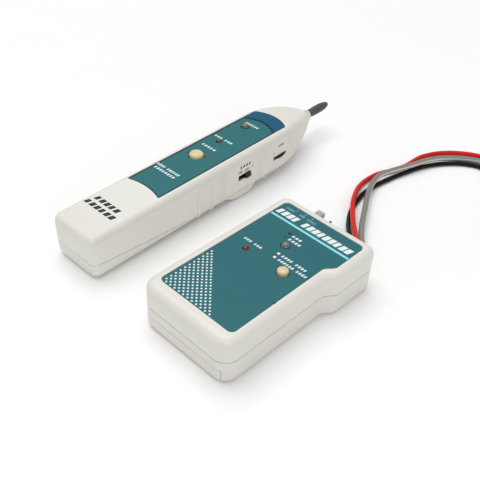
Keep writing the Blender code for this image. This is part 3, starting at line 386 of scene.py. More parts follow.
# ---- leads: red and black test leads with clips, grey two-core lead with a telephone plug
routes = {
    "red": ((11.4, 62.3, 8.5), (11.4, 64.4, 8.5), (10.2, 68.4, 8.2), (6.8, 72.9, 7.4), (2.9, 77.4, 6.6),
        (-1.4, 82.0, 5.9), (-6.2, 87.6, 5.2), (-10.9, 93.5, 4.8), (-16.6, 101.4, 4.7), (-22.4, 112.0, 3.3),
        (-25.6, 120.2, 2.2), (-27.2, 129.0, 1.6), (-26.9, 138.3, 1.5), (-25.4, 144.2, 1.5),
        (-23.0, 150.0, 1.5), (-20.8, 157.4, 1.5), (-19.6, 165.0, 1.5), (-19.4, 173.0, 1.5),
        (-18.2, 181.5, 1.5), (-12.5, 193.5, 1.5), (-2.0, 204.5, 1.5), (11.0, 211.5, 1.5), (25.5, 213.0, 1.5),
        (39.5, 208.0, 1.5), (50.0, 198.5, 1.5), (57.5, 187.0, 1.9), (63.5, 176.5, 3.5)),
    "black": ((7.8, 62.3, 8.5), (7.8, 64.4, 8.3), (5.9, 69.2, 6.9), (0.2, 75.8, 5.0), (-4.4, 81.4, 3.5),
        (-8.5, 87.3, 2.3), (-12.7, 94.2, 1.6), (-15.6, 101.0, 1.5), (-17.7, 108.1, 1.5), (-19.4, 115.1, 1.5),
        (-20.0, 121.9, 1.5), (-19.6, 129.9, 1.5), (-18.8, 136.4, 1.5), (-17.2, 146.9, 1.5),
        (-15.1, 156.6, 1.5), (-12.9, 165.6, 1.5), (-9.4, 174.5, 1.5), (-3.5, 184.5, 1.5), (5.0, 193.5, 1.5),
        (14.5, 198.5, 1.5), (24.0, 197.5, 1.5), (31.5, 191.5, 1.5), (37.0, 182.0, 1.5), (42.0, 172.5, 1.5),
        (47.0, 163.5, 1.9), (52.5, 154.0, 3.5)),
    "grey": ((15.4, 62.3, 8.5), (15.4, 64.6, 8.2), (14.6, 68.0, 7.1), (12.0, 72.2, 6.1), (8.2, 76.8, 5.6),
        (1.6, 86.3, 5.4), (-2.4, 92.9, 5.3), (-6.5, 99.9, 5.3), (-13.0, 110.8, 5.2), (-18.5, 121.5, 5.1),
        (-21.1, 129.8, 5.1), (-21.9, 137.0, 5.1), (-20.1, 144.8, 5.1), (-17.6, 152.6, 5.1),
        (-14.9, 160.6, 5.1), (-13.2, 166.6, 5.1), (-11.0, 174.0, 5.0), (-6.6, 184.0, 4.2), (0.0, 194.5, 2.7),
        (9.0, 203.0, 1.9), (20.0, 206.0, 1.9), (31.0, 202.5, 1.9), (39.5, 194.0, 1.9), (46.5, 183.5, 2.3),
        (52.5, 173.0, 3.6)),
}
leads = {
    "red": {"radius": 1.45, "sleeve": 2.4, "exit": (11.4, 61.4, 8.5), "end": "tool", "stiffness": "limp",
            "stuff": "extrudedPvcRed",
            "with": ["red_clip_base", "red_clip_jaw", "red_clip_pin", "red_clip_spring"]},
    "black": {"radius": 1.45, "sleeve": 2.4, "exit": (7.8, 61.4, 8.5), "end": "tool", "stiffness": "limp",
              "stuff": "extrudedPvcBlack",
              "with": ["black_clip_base", "black_clip_jaw", "black_clip_pin", "black_clip_spring"]},
    "grey": {"radius": 1.75, "sleeve": 3.2, "exit": (15.4, 61.4, 8.5), "end": "connector",
             "stiffness": "medium", "stuff": "extrudedPvcGrey", "with": ["grey_lead_plug"]},
}


def smoothRoute(points, spacing):
    # Catmull-Rom through the route, read at even steps
    fine = []
    padded = [points[0]] + list(points) + [points[-1]]
    for i in range(1, len(padded) - 2):
        p0, p1, p2, p3 = (Vector(p) for p in padded[i - 1:i + 3])
        for k in range(16):
            t = k / 16
            fine.append(0.5 * (2 * p1 + (p2 - p0) * t + (2 * p0 - 5 * p1 + 4 * p2 - p3) * t * t
                               + (3 * p1 - p0 - 3 * p2 + p3) * t * t * t))
    fine.append(Vector(points[-1]))
    total = sum((b - a).length for a, b in zip(fine, fine[1:]))
    count = max(2, round(total / spacing))
    out, run = [fine[0]], 0.0
    for a, b in zip(fine, fine[1:]):
        size = (b - a).length
        while run + size >= total / count * len(out) - 1e-9 and len(out) < count:
            out.append(a.lerp(b, (total / count * len(out) - run) / size))
        run += size
    return out + [fine[-1]], total


def makeTube(name, line, radius, material, sides=20):
    # round jacket swept along the line, with a map that runs round it
    rings, side = [], Vector((0, 0, 1))
    for i, point in enumerate(line):
        heading = (line[min(i + 1, len(line) - 1)] - line[max(i - 1, 0)]).normalized()
        side = (side - heading * side.dot(heading)).normalized()
        other = heading.cross(side)
        rings.append([point + (side * math.cos(math.tau * k / sides)
                               + other * math.sin(math.tau * k / sides)) * radius for k in range(sides)])
    piece = fromRings(name, rings, material=material)
    layer = piece.data.uv_layers.new(name="around")
    for face in piece.data.polygons:
        marks = [(piece.data.loops[k].vertex_index % sides, piece.data.loops[k].vertex_index // sides)
                 for k in face.loop_indices]
        wraps = max(m[0] for m in marks) - min(m[0] for m in marks) > 1 and len(marks) == 4
        for k, (turn, row) in zip(face.loop_indices, marks):
            layer.data[k].uv = ((turn + (sides if wraps and turn == 0 else 0)) / sides, row * 0.1)
    return piece


makeCamera(view)
for colour, lead in leads.items():
    line, total = smoothRoute(routes[colour], lead["radius"] * 1.1)
    tube = makeTube(f"{colour}Lead", line, lead["radius"], lead["stuff"])
    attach(tube, "generator")
    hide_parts(f"{colour}_lead")
    for face in tube.data.polygons:
        face.use_smooth = len(face.vertices) == 4
    print(f"{colour} lead laid, {total:.0f} mm")


# ---- tone generator
def generatorOutline(inset, steps=10):
    left, right = -gen["width"] / 2 + inset, gen["width"] / 2 - inset
    wide, rear, front = right + gen["step"], -gen["length"] / 2 + inset, gen["length"] / 2 - inset
    rearR, frontR = max(gen["rearCorner"] - inset, 0.8), max(gen["frontCorner"] - inset, 0.8)
    points = arc(wide - frontR, front - frontR, frontR, 0, 90, steps)
    points += arc(left + frontR, front - frontR, frontR, 90, 90, steps)
    points += arc(left + rearR, rear + rearR, rearR, 180, 90, steps)
    points += arc(right - rearR, rear + rearR, rearR, 270, 90, steps)
    for i in range(15):
        t = i / 14
        points.append((right + gen["step"] * ease(t), gen["stepFrom"]
                       + (gen["stepTo"] - gen["stepFrom"]) * t))
    return points


def generatorRings(levels):
    return [[(x, y, z) for x, y in generatorOutline(inset)] for inset, z in levels]


lip = 0.25  # the shells meet at a small rounded lip
seamTop, seamLow = gen["split"] + gen["gap"] / 2, gen["split"] - gen["gap"] / 2
topLevels = [(lip, seamTop), (0.07, seamTop + 0.08), (0.0, seamTop + lip)]
topLevels += [(gen["topRound"] * (1 - math.cos(math.radians(a))),
               gen["tall"] - gen["topRound"] * (1 - math.sin(math.radians(a)))) for a in range(0, 91, 9)]
baseLevels = [(gen["baseRound"] * (1 - math.sin(math.radians(a))),
               gen["baseRound"] * (1 - math.cos(math.radians(a)))) for a in range(0, 91, 10)]
baseLevels += [(0.0, seamLow - lip), (0.07, seamLow - 0.08), (lip, seamLow)]

panelTop, panelLow = gen["tall"] - 0.3, gen["tall"] - 1.0
genSpots = {"button": ((13.1, 2.2), 3.7), "red": ((-11.9, 1.9), 1.8), "clear": ((0.4, 18.4), 2.8)}
screwSpots = ((-22.0, 44.0), (26.5, 44.0))
slide = {"x": (-11.5, -7.1), "z": (18.9, 22.4), "travel": 7.0}
door = {"x": 25.5, "y": -20.0, "z": 8.2}
notches = {"spots": ((24.7, -16.9), (-23.3, -16.6)), "radius": 0.85}
post = {"radius": 4.0, "head": 2.7, "hole": 1.55}  # screw posts in both cases


def panelOutline(grow, steps=8):
    left, right, wide = -23.9 - grow, 25.1 + grow, 29.2 + grow
    rear, front, radius = -44.8 - grow, 46.7 + grow, 3.0
    points = arc(wide - radius, front - radius, radius, 0, 90, steps)
    points += arc(left + radius, front - radius, radius, 90, 90, steps)
    points += arc(left + radius, rear + radius, radius, 180, 90, steps)
    points += arc(right - radius, rear + radius, radius, 270, 90, steps)
    for i in range(11):
        points.append((right + (wide - right) * ease(i / 10), 17.5 + 7.0 * i / 10))
    return points


def holes(spots, top=30):
    # the openings over the buttons and LEDs
    return [rod("tool", spot, 20, top, radius) for spot, radius in spots.values()]


def notchHoles():
    return [rod("tool", spot, 20, 30, notches["radius"], steps=24) for spot in notches["spots"]]


def slideSlot(y0, y1, gap=0.3):
    return block("tool", (slide["x"][0] - gap, y0, slide["z"][0] - gap),
                 (slide["x"][1] + slide["travel"] + gap, y1, slide["z"][1] + gap))


def screwPosts(piece, spots, foot, top, under, hole):
    carve(piece, [rod("tool", spot, foot, top, post["radius"], steps=32) for spot in spots], "UNION")
    carve(piece, [rod("tool", spot, under, 3.0, post["head"], steps=32) for spot in spots]
          + [rod("tool", spot, hole[0], hole[1], post["hole"], steps=24) for spot in spots])


shell = fromRings("genTopShell", generatorRings(topLevels), material="mouldedAbsIvory")
tools = [prism("tool", generatorOutline(gen["wall"], 4), seamTop - 2, gen["tall"] - 3.2),
         prism("tool", panelOutline(0.2), panelLow - 0.2, gen["tall"] + 1),
         slideSlot(48, 55)]
carve(shell, tools + holes(genSpots) + notchHoles())
settle(shell, "generator", ["gen_top_shell"], edge=0.12)

base = fromRings("genBottomShell", generatorRings(baseLevels), material="mouldedAbsIvory")
tools = [prism("tool", generatorOutline(gen["wall"], 4), gen["wall"], seamLow + 2),
         block("tool", (-door["x"] - 0.3, -60, -2), (door["x"] + 0.3, door["y"] + 0.3, 2.5)),
         block("tool", (-door["x"] - 0.3, -60, -2), (door["x"] + 0.3, -47, door["z"] + 0.3)),
         prism("tool", roundedBox(3.5, 23.0, 5.2, 11.8, 3.0), 48, 56, axis="y")]
carve(base, tools)
screwPosts(base, screwSpots, 1.0, seamLow - 0.3, -1, (2, 16))
settle(base, "generator", ["gen_bottom_shell"], edge=0.12)

hatch = fromRings("genBatteryDoor", generatorRings(baseLevels), material="mouldedAbsIvory")
carve(hatch, [block("tool", (-door["x"], -60, -2), (door["x"], door["y"], door["z"]))], "INTERSECT")
carve(hatch, [prism("tool", generatorOutline(gen["wall"], 4), gen["wall"], 50)])
# thumb grooves near the edge that is pushed
carve(hatch, [block("tool", (-7 + i, -27.0 + 1.6 * i, -0.4), (7 - i, -26.2 + 1.6 * i, 0.25))
              for i in range(4)])
settle(hatch, "generator_door", ["gen_battery_door"], edge=0.12)

panel = prism("genPanel", panelOutline(-0.1), panelLow, panelTop, "printedPolycarbonateTeal", edge=0.12)
carve(panel, holes(genSpots) + notchHoles())
settle(panel, "generator", ["gen_panel"], edge=0.06)
print("generator shells and panel made")


# Printing: thin ink shapes that stand a hair proud of their surface.
def inkShapes(name, shapes, level, material, body, to=None, thick=0.03):
    work = bmesh.new()
    for shape in shapes:
        low = [work.verts.new(Vector((x, y, level - 0.02)) * mm) for x, y in shape]
        high = [work.verts.new(Vector((x, y, level + thick)) * mm) for x, y in shape]
        work.faces.new(list(reversed(low)))
        work.faces.new(high)
        for i in range(len(shape)):
            j = (i + 1) % len(shape)
            work.faces.new((low[i], low[j], high[j], high[i]))
    bmesh.ops.recalc_face_normals(work, faces=work.faces)
    mesh = bpy.data.meshes.new(name)
    work.to_mesh(mesh)
    work.free()
    piece = linkPiece(name, mesh, material)
    if to:
        mesh.transform(to)
    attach(piece, body)
    return piece


def slantBar(x, y, width, tall, slant=0.28):
    return ((x, y), (x + width, y), (x + width + tall * slant, y + tall), (x + tall * slant, y + tall))


def barRow(x0, x1, y, tall, groups, share=0.62, slant=0.28):
    # plain slanted bars in groups, spread between two ends; they stand where a maker prints words
    cells = sum(groups) + 0.9 * (len(groups) - 1)
    pitch = (x1 - x0 - tall * slant) / cells
    bars, x = [], x0
    for size in groups:
        for i in range(size):
            wide = pitch * share * (1.0 if i % 3 else 0.86)
            bars.append(slantBar(x, y, wide, tall, slant))
            x += pitch
        x += 0.9 * pitch
    return bars


def disc(x, y, radius, steps=14):
    return [(x + radius * math.cos(math.tau * i / steps), y + radius * math.sin(math.tau * i / steps))
            for i in range(steps)]


def square(x, y, half):
    return [(x - half, y - half), (x + half, y - half), (x + half, y + half), (x - half, y + half)]


def genInk(name, shapes, material):
    inkShapes(name, shapes, panelTop, material, "generator")


# corner field of dots: each diagonal column is two dots longer than the one before
dots = {"x": -21.8, "y": -12.2, "step": 1.492, "columns": 11, "radius": 0.56}
field = [disc(dots["x"] + dots["step"] * j,
              dots["y"] - 2 * dots["step"] * (dots["columns"] - k) - dots["step"] * j, dots["radius"], 10)
         for k in range(1, dots["columns"] + 1) for j in range(2 * k)]
genInk("genDotField", field, "screenInkWhite")
genInk("genStripe", [((-23.5, 32.95), (28.8, 32.95), (28.8, 34.35), (-23.5, 34.35))], "screenInkAqua")
genInk("genTitleBars", barRow(-22.9, 28.2, 36.1, 4.3, (4, 9), 0.80), "screenInkWhite")
small = barRow(-18.3, -5.6, 6.9, 1.5, (3, 3)) + barRow(-2.2, 4.8, 25.8, 1.6, (3,))
small += barRow(-2.0, 7.0, 22.6, 1.6, (4,)) + barRow(4.5, 21.4, 10.2, 1.6, (4, 4))
small += barRow(5.1, 24.4, 6.8, 1.6, (6, 4))
small += [square(2.3, 11.1, 0.75), square(2.7, 7.7, 0.75)]
genInk("genLegendBars", small, "screenInkWhite")
faint = barRow(-20.4, -14.4, 42.3, 1.4, (4,)) + barRow(-11.6, -7.6, 42.3, 1.6, (3,))
faint += barRow(-6.0, 0.4, 42.3, 1.4, (4,))
faint += [square(-14.6, 45.0, 0.4), square(-9.2, 45.2, 0.4), square(-4.4, 45.2, 0.4)]
genInk("genSwitchLegend", faint, "screenInkMuted")
genInk("genBlackDot", [disc(-4.4, 27.2, 1.05, 24)], "padInkBlack")
genInk("genGreenDot", [disc(-4.4, 23.8, 1.05, 24)], "padInkGreen")
print("generator printing made")


def makeLed(name, spot, radius, base, top, material, body, node, onTracer=False):
    # flanged epoxy body with a dome
    angles = [math.radians(a) for a in range(81, -1, -9)]
    profile = [(0.0, top)] + [(radius * math.cos(a), top - radius + radius * math.sin(a)) for a in angles]
    profile += [(radius, base + 1.0), (radius * 1.10, base + 1.0), (radius * 1.14, base + 0.85),
                (radius * 1.14, base), (0.0, base)]
    return settle(lathe(name, profile, spot, material), body, [node], onTracer, angle=40)


makeLed("genLineLed", genSpots["red"][0], 1.5, 21.7, 28.6, "castEpoxyRed", "generator",
        "gen_line_led")
makeLed("genStatusLed", genSpots["clear"][0], 2.5, 20.1, 29.4, "castEpoxyClear", "generator",
        "gen_status_led")


def makeButton(name, spot, radius, top, shoulder, foot, dome, material, body, node, onTracer=False):
    # domed cap with a rounded rim over its stem; the power keeps the crown full towards the rim
    stem = radius * 0.34
    profile = [(0.0, top)] + [(radius * math.sin(math.radians(a)) ** 0.85, top - dome
                               + dome * math.cos(math.radians(a))) for a in range(6, 91, 6)]
    profile += [(radius, shoulder), (stem, shoulder), (stem, foot), (0.0, foot)]
    return settle(lathe(name, profile, spot, material, steps=64), body, [node], onTracer,
                  angle=40)


makeButton("genToneButton", genSpots["button"][0], 3.0, 29.8, 24.1, 21.2, 1.3, "mouldedAbsCream",
           "tone_button", "gen_tone_button")

knob = block("genFunctionKnob", (slide["x"][0], 45.0, slide["z"][0]), (slide["x"][1], 60.3, slide["z"][1]),
             "mouldedAcetalGrey", edge=0.35)
carve(knob, [block("tool", (slide["x"][0] - 1, 54.6 + 1.5 * i, slide["z"][1] - 0.35),
                   (slide["x"][1] + 1, 55.2 + 1.5 * i, slide["z"][1] + 1)) for i in range(3)])
settle(knob, "function_knob", ["gen_function_knob"], edge=0.1)

bezel = prism("genSlotBezel", roundedBox(-13.0, 1.6, 17.2, 23.8, 0.8), 52.7, 53.2, "mouldedNylonBlack",
              axis="y")
carve(bezel, [block("tool", (0.4, 52.9, 20.0), (1.6, 55.0, 24.3), edge=0.25)], "UNION")
carve(bezel, [slideSlot(52, 56)])
settle(bezel, "generator", ["gen_slot_bezel"], edge=0.1)

grommet = prism("genLeadGrommet", roundedBox(3.8, 22.7, 5.5, 11.5, 2.7), 49.5, 53.2, "mouldedNylonBlack",
                axis="y")
carve(grommet, [prism("tool", roundedBox(2.6, 23.9, 4.3, 12.7, 3.8, 8), 52.8, 54.0, axis="y", edge=0.3)],
      "UNION")
for colour in ("black", "red", "grey"):
    # tapered strain relief with ring grooves
    (x, tip, z), radius = leads[colour]["exit"], leads[colour]["sleeve"]
    profile = [(0.0, tip), (radius - 0.75, tip), (radius - 0.6, tip - 0.3)]
    for i in range(5):
        y, here = tip - 1.0 - 1.35 * i, radius - 0.6 + 0.1 * i
        profile += [(here, y), (here - 0.3, y - 0.12), (here - 0.3, y - 0.45), (here + 0.05, y - 0.6)]
    profile += [(radius, 53.0), (0.0, 53.0)]
    carve(grommet, [lathe("tool", profile, (x, z), axis="y", steps=32)], "UNION")
settle(grommet, "generator", ["gen_lead_grommet"], edge=0.0)
print("generator controls made")


# ---- cable tracer
stations = ((0.0, 13.4, 3.6, 23.8), (0.35, 14.9, 2.1, 25.3), (0.9, 15.7, 1.3, 26.1), (1.8, 16.4, 0.6, 26.8),
            (3.0, 16.85, 0.15, 27.25), (4.5, 17.0, 0.0, 27.4), (60.0, 17.0, 0.0, 27.4),
            (95.0, 17.0, 0.0, 27.4), (100.0, 17.0, -0.7, 27.4), (104.5, 17.0, -2.2, 27.4),
            (109.0, 17.0, -2.6, 27.4), (115.0, 17.0, -2.7, 27.4), (119.0, 17.0, -2.2, 27.4),
            (122.5, 17.0, -0.6, 27.4), (124.0, 17.0, 0.0, 27.4), (145.0, 17.0, 0.0, 27.4),
            (150.0, 16.8, 0.0, 27.4), (154.0, 16.3, 0.1, 27.3), (158.0, 15.6, 0.3, 27.1),
            (162.0, 14.7, 0.6, 26.7), (166.0, 13.6, 1.0, 26.1), (170.0, 12.4, 1.8, 25.4),
            (174.0, 11.1, 3.1, 24.5), (178.0, 9.6, 4.7, 23.3), (182.0, 8.0, 6.5, 21.9),
            (186.0, 6.2, 8.7, 20.0), (188.5, 5.0, 10.1, 18.5), (190.5, 4.1, 11.2, 17.2))


def stationAt(y):
    # half width, underside and top, on a curve that never overshoots its stations
    i = max(k for k in range(len(stations) - 1) if stations[k][0] <= y)
    a, b = stations[i], stations[i + 1]
    span = b[0] - a[0]
    t = min((y - a[0]) / span, 1.0)
    out = []
    for k in (1, 2, 3):
        slope = (b[k] - a[k]) / span
        ends = []
        for other, step in ((i - 1, -1), (i + 2, 1)):
            if 0 <= other < len(stations):
                near, far = (stations[other], a) if step < 0 else (b, stations[other])
                side = (far[k] - near[k]) / (far[0] - near[0])
                ends.append(0.0 if side * slope <= 0 else 2 * side * slope / (side + slope))
            else:
                ends.append(slope)
        h00, h10 = (1 + 2 * t) * (1 - t) ** 2, t * (1 - t) ** 2
        h01, h11 = t * t * (3 - 2 * t), t * t * (t - 1)
        out.append(h00 * a[k] + h10 * span * ends[0] + h01 * b[k] + h11 * span * ends[1])
    return out


def section(half, low, high, radius, drop, steps=8):
    # rounded rectangle; the belly has tighter lower corners
    r = min(radius, half * 0.98, (high - low) * 0.49)
    tight = max(min(r, radius - drop), 1.0)
    return (arc(half - r, high - r, r, 0, 90, steps) + arc(-half + r, high - r, r, 90, 90, steps)
            + arc(-half + tight, low + tight, tight, 180, 90, steps)
            + arc(half - tight, low + tight, tight, 270, 90, steps))


def tracerLoft(name, inset, y0, y1, material=None, steps=8):
    y1 = min(y1, stations[-1][0])
    marks = {round(y0, 3), round(y1, 3)}
    marks |= {y for y in (0.15, 0.35, 0.6, 0.9, 1.3, 1.8, 2.4, 3.0, 3.7, 4.5, 30, 60, 80) if y0 < y < y1}
    marks |= {y for y in range(92, 127, 2) if y0 < y < y1}
    marks |= {y / 2 for y in range(280, 381, 3) if y0 < y / 2 < y1}
    rings = []
    for y in sorted(marks):
        half, low, high = stationAt(y)
        flat = section(half - inset, low + inset, high - inset * 1.4, max(tracer["round"] - inset, 1.2),
                       max(0.0, -low), steps)
        rings.append([(x, y, z) for x, z in flat])
    return fromRings(name, rings, material=material)


def wedge(points):
    return prism("tool", points, -50, 50, axis="x")


halfGap = tracer["gap"] / 2
end = tracer["doorEnd"]
crown = tracerLoft("probeTopShell", 0.0, 0.0, 200.0, "mouldedAbsIvory")
lowSeam, highSeam = tracer["seamLow"], tracer["seamHigh"]  # the seam climbs towards the rear along the door
below = wedge([(-10, -10), (205, -10), (205, lowSeam + halfGap), (end, lowSeam + halfGap),
               (0, highSeam + halfGap), (-10, highSeam + 1.0 + halfGap)])
carve(crown, [below, tracerLoft("tool", tracer["wall"], 2.0, 180.0, steps=3)])


def ribSection(y):
    return [(y + 1.0, -1.0)] + [(y + 0.9 * math.cos(math.radians(a)), 0.8 * math.sin(math.radians(a)))
                                for a in range(0, 181, 20)] + [(y - 1.0, -1.0)]


def ribAlong(y, path):
    # path holds (x, z, outward x, outward z, share of the full height)
    return fromRings("tool", [[(x + nx * (d * k if d > 0 else d), yy, z + nz * (d * k if d > 0 else d))
                               for yy, d in ribSection(y)] for x, z, nx, nz, k in path])


def sideRib(y, side, low=3.05, high=20.0):
    levels = ((low, 0.9), (low + 0.4, 1.0), (high - 0.8, 1.0), (high - 0.3, 0.7), (high, 0.15))
    return ribAlong(y, [(side * tracer["side"], z, side, 0.0, k) for z, k in levels])


def lowRib(y):
    # follows the rounded corners and the underside from seam to seam
    corner, turn = tracer["round"], [25 + 6.5 * i for i in range(11)]  # 25 to 90 degrees
    path = [(tracer["side"] - corner + corner * math.cos(math.radians(a)),
             corner - corner * math.sin(math.radians(a)), math.cos(math.radians(a)),
             -math.sin(math.radians(a)), 0.9 if a < 30 else 1.0) for a in turn]
    return ribAlong(y, path + [(-x, z, -nx, nz, k) for x, z, nx, nz, k in path[::-1]])


ribs = {"side": (75.2, 86.0), "under": (75.2, 86.0, 95.0, 133.0, 143.8)}
carve(crown, [sideRib(y, side) for y in ribs["side"] for side in (-1, 1)], "UNION")


def bowedLine(side, bulge, half, steps=24, back=False):
    # edge across the tracer, bowed along Y
    points = [(half * (1 - 2 * i / steps), side + bulge * (1 - (1 - 2 * i / steps) ** 2))
              for i in range(steps + 1)]
    return points[::-1] if back else points


def tracerPlate(front, rear, half, steps=24):
    # plan between two bowed edges, each given as (place, bulge)
    return bowedLine(*front, half, steps) + bowedLine(*rear, half, steps, True)


def softCorners(points, radius):
    # cuts every sharp corner of an outline back to a small curve
    flat = [Vector((x, y)) for x, y in points]
    count = len(flat)
    sharp = [i for i in range(count) if (flat[i] - flat[i - 1]).length > 1e-6 and
             (flat[i] - flat[i - 1]).angle(flat[(i + 1) % count] - flat[i]) > 0.8]
    out = []
    for i, point in enumerate(flat):
        if i in sharp:
            start = point + (flat[i - 1] - point).normalized() * radius
            finish = point + (flat[(i + 1) % count] - point).normalized() * radius
            out += [tuple(start * (1 - t) ** 2 + point * (2 * t * (1 - t)) + finish * t * t)
                    for t in (0.0, 0.2, 0.4, 0.6, 0.8, 1.0)]
        elif all((point - flat[k]).length > radius * 1.05 for k in sharp):
            out.append(tuple(point))
    return out


top, half = tracer["tall"], tracer["panelHalf"]
filmTop, filmLow, recess = top - 0.3, top - 1.0, top - 1.2
tracerSpots = {"button": ((-3.2, 92.7), 5.4), "battery": ((-4.3, 112.2), 1.8), "signal": ((-4.6, 135.9), 2.8)}
mode = {"y": (113.4, 117.8), "z": (10.4, 13.7), "travel": 5.0}
wheel = {"spot": (8.2, 145.3), "z": (10.6, 12.4), "radius": 10.0}
cuts = [prism("tool", softCorners(tracerPlate((153.7, 4.4), (48.3, 2.6), half + 0.2), 1.5), recess, top + 2),
        block("tool", (12, mode["y"][0] - mode["travel"] - 0.3, mode["z"][0] - 0.3),
              (20, mode["y"][1] + 0.3, mode["z"][1] + 0.3)),
        block("tool", (14, wheel["spot"][1] - 6, wheel["z"][0] - 0.3),
              (20, wheel["spot"][1] + 6, wheel["z"][1] + 0.3)),
        rod("tool", wheel["spot"], wheel["z"][0] - 0.3, wheel["z"][1] + 0.3, wheel["radius"] + 0.4)]
cuts += holes(tracerSpots, 32)
nose = (0.0, tracer["noseHeight"])
carve(crown, cuts + [rod("tool", nose, 170, 195, 1.9, axis="y", steps=32)])
settle(crown, "probe", ["probe_top_shell"], True, edge=0.12)

keel = tracerLoft("probeBottomShell", 0.0, end + tracer["gap"], 200.0, "mouldedAbsIvory")
above = [(-20, 50), (-20, highSeam), (0, highSeam - halfGap), (end, lowSeam - halfGap),
         (250, lowSeam - halfGap), (250, 50)]
carve(keel, [wedge(above), tracerLoft("tool", tracer["wall"], end + 2.5, 180.0, steps=3)])
carve(keel, [lowRib(y) for y in ribs["under"]], "UNION")
screws = ((0.0, 79.5), (-6.0, 149.5))
screwPosts(keel, screws, 1.2, 9.0, -3, (1, 12))
settle(keel, "probe", ["probe_bottom_shell"], True, edge=0.12)

lid = tracerLoft("probeBatteryDoor", 0.0, 0.0, end, "mouldedAbsIvory")
carve(lid, [wedge(above), tracerLoft("tool", tracer["wall"], 2.0, end - 2.0, steps=3)])
carve(lid, [block("tool", (-6 + i, 60.0 + 1.6 * i, -0.4), (6 - i, 60.8 + 1.6 * i, 0.3)) for i in range(4)])
settle(lid, "probe_door", ["probe_battery_door"], True, edge=0.12)
print("tracer shells made")

film = prism("probePanel", softCorners(tracerPlate((143.1, 4.2), (48.6, 2.6), half - 0.1), 1.3), filmLow,
             filmTop, "printedPolycarbonateSea", edge=0.12)
carve(film, holes(tracerSpots, 32))
settle(film, "probe", ["probe_panel"], True, edge=0.06)
# painted shade: a dark line along the rim of the panel, where the recess gap falls into shade
rimShadeOutlines = [tracerPlate((143.1 - around, 4.2), (48.6 + around, 2.6), half - 0.1 - around, 12)
           for around in (0.05, 0.95)]
rimShadeLine = [(rimShadeOutlines[0][i - 1], rimShadeOutlines[0][i], rimShadeOutlines[1][i], rimShadeOutlines[1][i - 1])
            for i in range(len(rimShadeOutlines[0]))]
inkShapes("probePanelRimShade", rimShadeLine, filmTop, "paintedRimShade", "probe", probePlace,
          thick=0.02)
lens = prism("probeLens", softCorners(tracerPlate((153.4, 4.4), (143.5, 4.2), half - 0.1), 1.2), filmLow,
             top - 0.15, "castAcrylicBlue", edge=0.2)
settle(lens, "probe", ["probe_lens"], True)

makeButton("probeTraceButton", tracerSpots["button"][0], 4.3, 29.2, 23.6, 21.2, 1.9, "mouldedAbsCream",
           "trace_button", "probe_trace_button", True)
makeLed("probeBatteryLed", tracerSpots["battery"][0], 1.5, 21.7, 28.2, "castEpoxyDarkRed", "probe",
        "probe_battery_led", True)
makeLed("probeSignalLed", tracerSpots["signal"][0], 2.5, 20.1, 29.2, "castEpoxyOlive", "probe",
        "probe_signal_led", True)

# the slide switch shows its black face just inside the slot
switchBody = block("probeModeSwitch", (8.5, 104.0, 8.5), (14.6, 122.2, 16.8), "mouldedNylonBlack", edge=0.3)
carve(switchBody, [block("tool", (14.4, mode["y"][0] - 5.2, mode["z"][0] - 0.2),
                         (16.1, mode["y"][1] + 0.2, mode["z"][1] + 0.2))], "UNION")
carve(switchBody, [block("tool", (11.0, mode["y"][0] - 4.3, 11.0), (20.0, mode["y"][1] - 0.7, 13.1))])
settle(switchBody, "probe", ["probe_mode_switch"], True)
modeKnob = block("probeModeKnob", (16.4, mode["y"][0], mode["z"][0]), (18.4, mode["y"][1], mode["z"][1]),
                 "mouldedNylonBlack", edge=0.3)
carve(modeKnob, [block("tool", (11.4, mode["y"][0] + 1.0, 11.3), (17.0, mode["y"][1] - 1.0, 12.8))], "UNION")
carve(modeKnob, [block("tool", (18.1, mode["y"][0] + 0.7 + i, mode["z"][0] - 1),
                       (19, mode["y"][0] + 1.1 + i, mode["z"][1] + 1)) for i in range(4)])
settle(modeKnob, "mode_knob", ["probe_mode_knob"], True, edge=0.06)

rim = []
for z, shrink in ((wheel["z"][0], 0.35), (wheel["z"][0] + 0.3, 0.0), (wheel["z"][1] - 0.3, 0.0),
                  (wheel["z"][1], 0.35)):
    ring = []
    for i in range(180):
        # knurled edge, one ridge every six degrees
        depth = (0.0, 0.0, 0.45)[i % 3]
        r = wheel["radius"] - shrink - depth
        turn = math.tau * i / 180
        ring.append((wheel["spot"][0] + r * math.cos(turn), wheel["spot"][1] + r * math.sin(turn), z))
    rim.append(ring)
dial = fromRings("probeVolumeWheel", rim, material="mouldedNylonBlack")
carve(dial, [rod("tool", wheel["spot"], 9, 14, 1.8, steps=32)])
settle(dial, "volume_wheel", ["probe_volume_wheel"], True)

collar = lathe("probeTipCollar", [(2.4, 192.2), (3.0, 192.2), (3.45, 191.9), (3.6, 191.5), (3.6, 190.8),
                                  (2.4, 190.8), (2.4, 192.2)], nose, "mouldedAbsIvory", axis="y")
settle(collar, "probe", ["probe_tip_collar"], True)
tipProfile = [(0.0, 213.6), (0.5, 213.55), (0.95, 213.3), (1.35, 212.85), (1.75, 212.0), (2.1, 210.9),
              (2.4, 209.5), (2.65, 207.8), (2.82, 205.8), (2.9, 203.5), (2.87, 200.5), (2.8, 198.0),
              (2.66, 197.8), (2.66, 197.3), (2.76, 197.1), (2.6, 192.8), (2.3, 192.6), (2.3, 190.9),
              (1.7, 190.9), (1.7, 172.0), (0.0, 172.0)]
settle(lathe("probeTip", tipProfile, nose, "mouldedCarbonPlastic", axis="y"), "probe",
       ["probe_tip"], True)

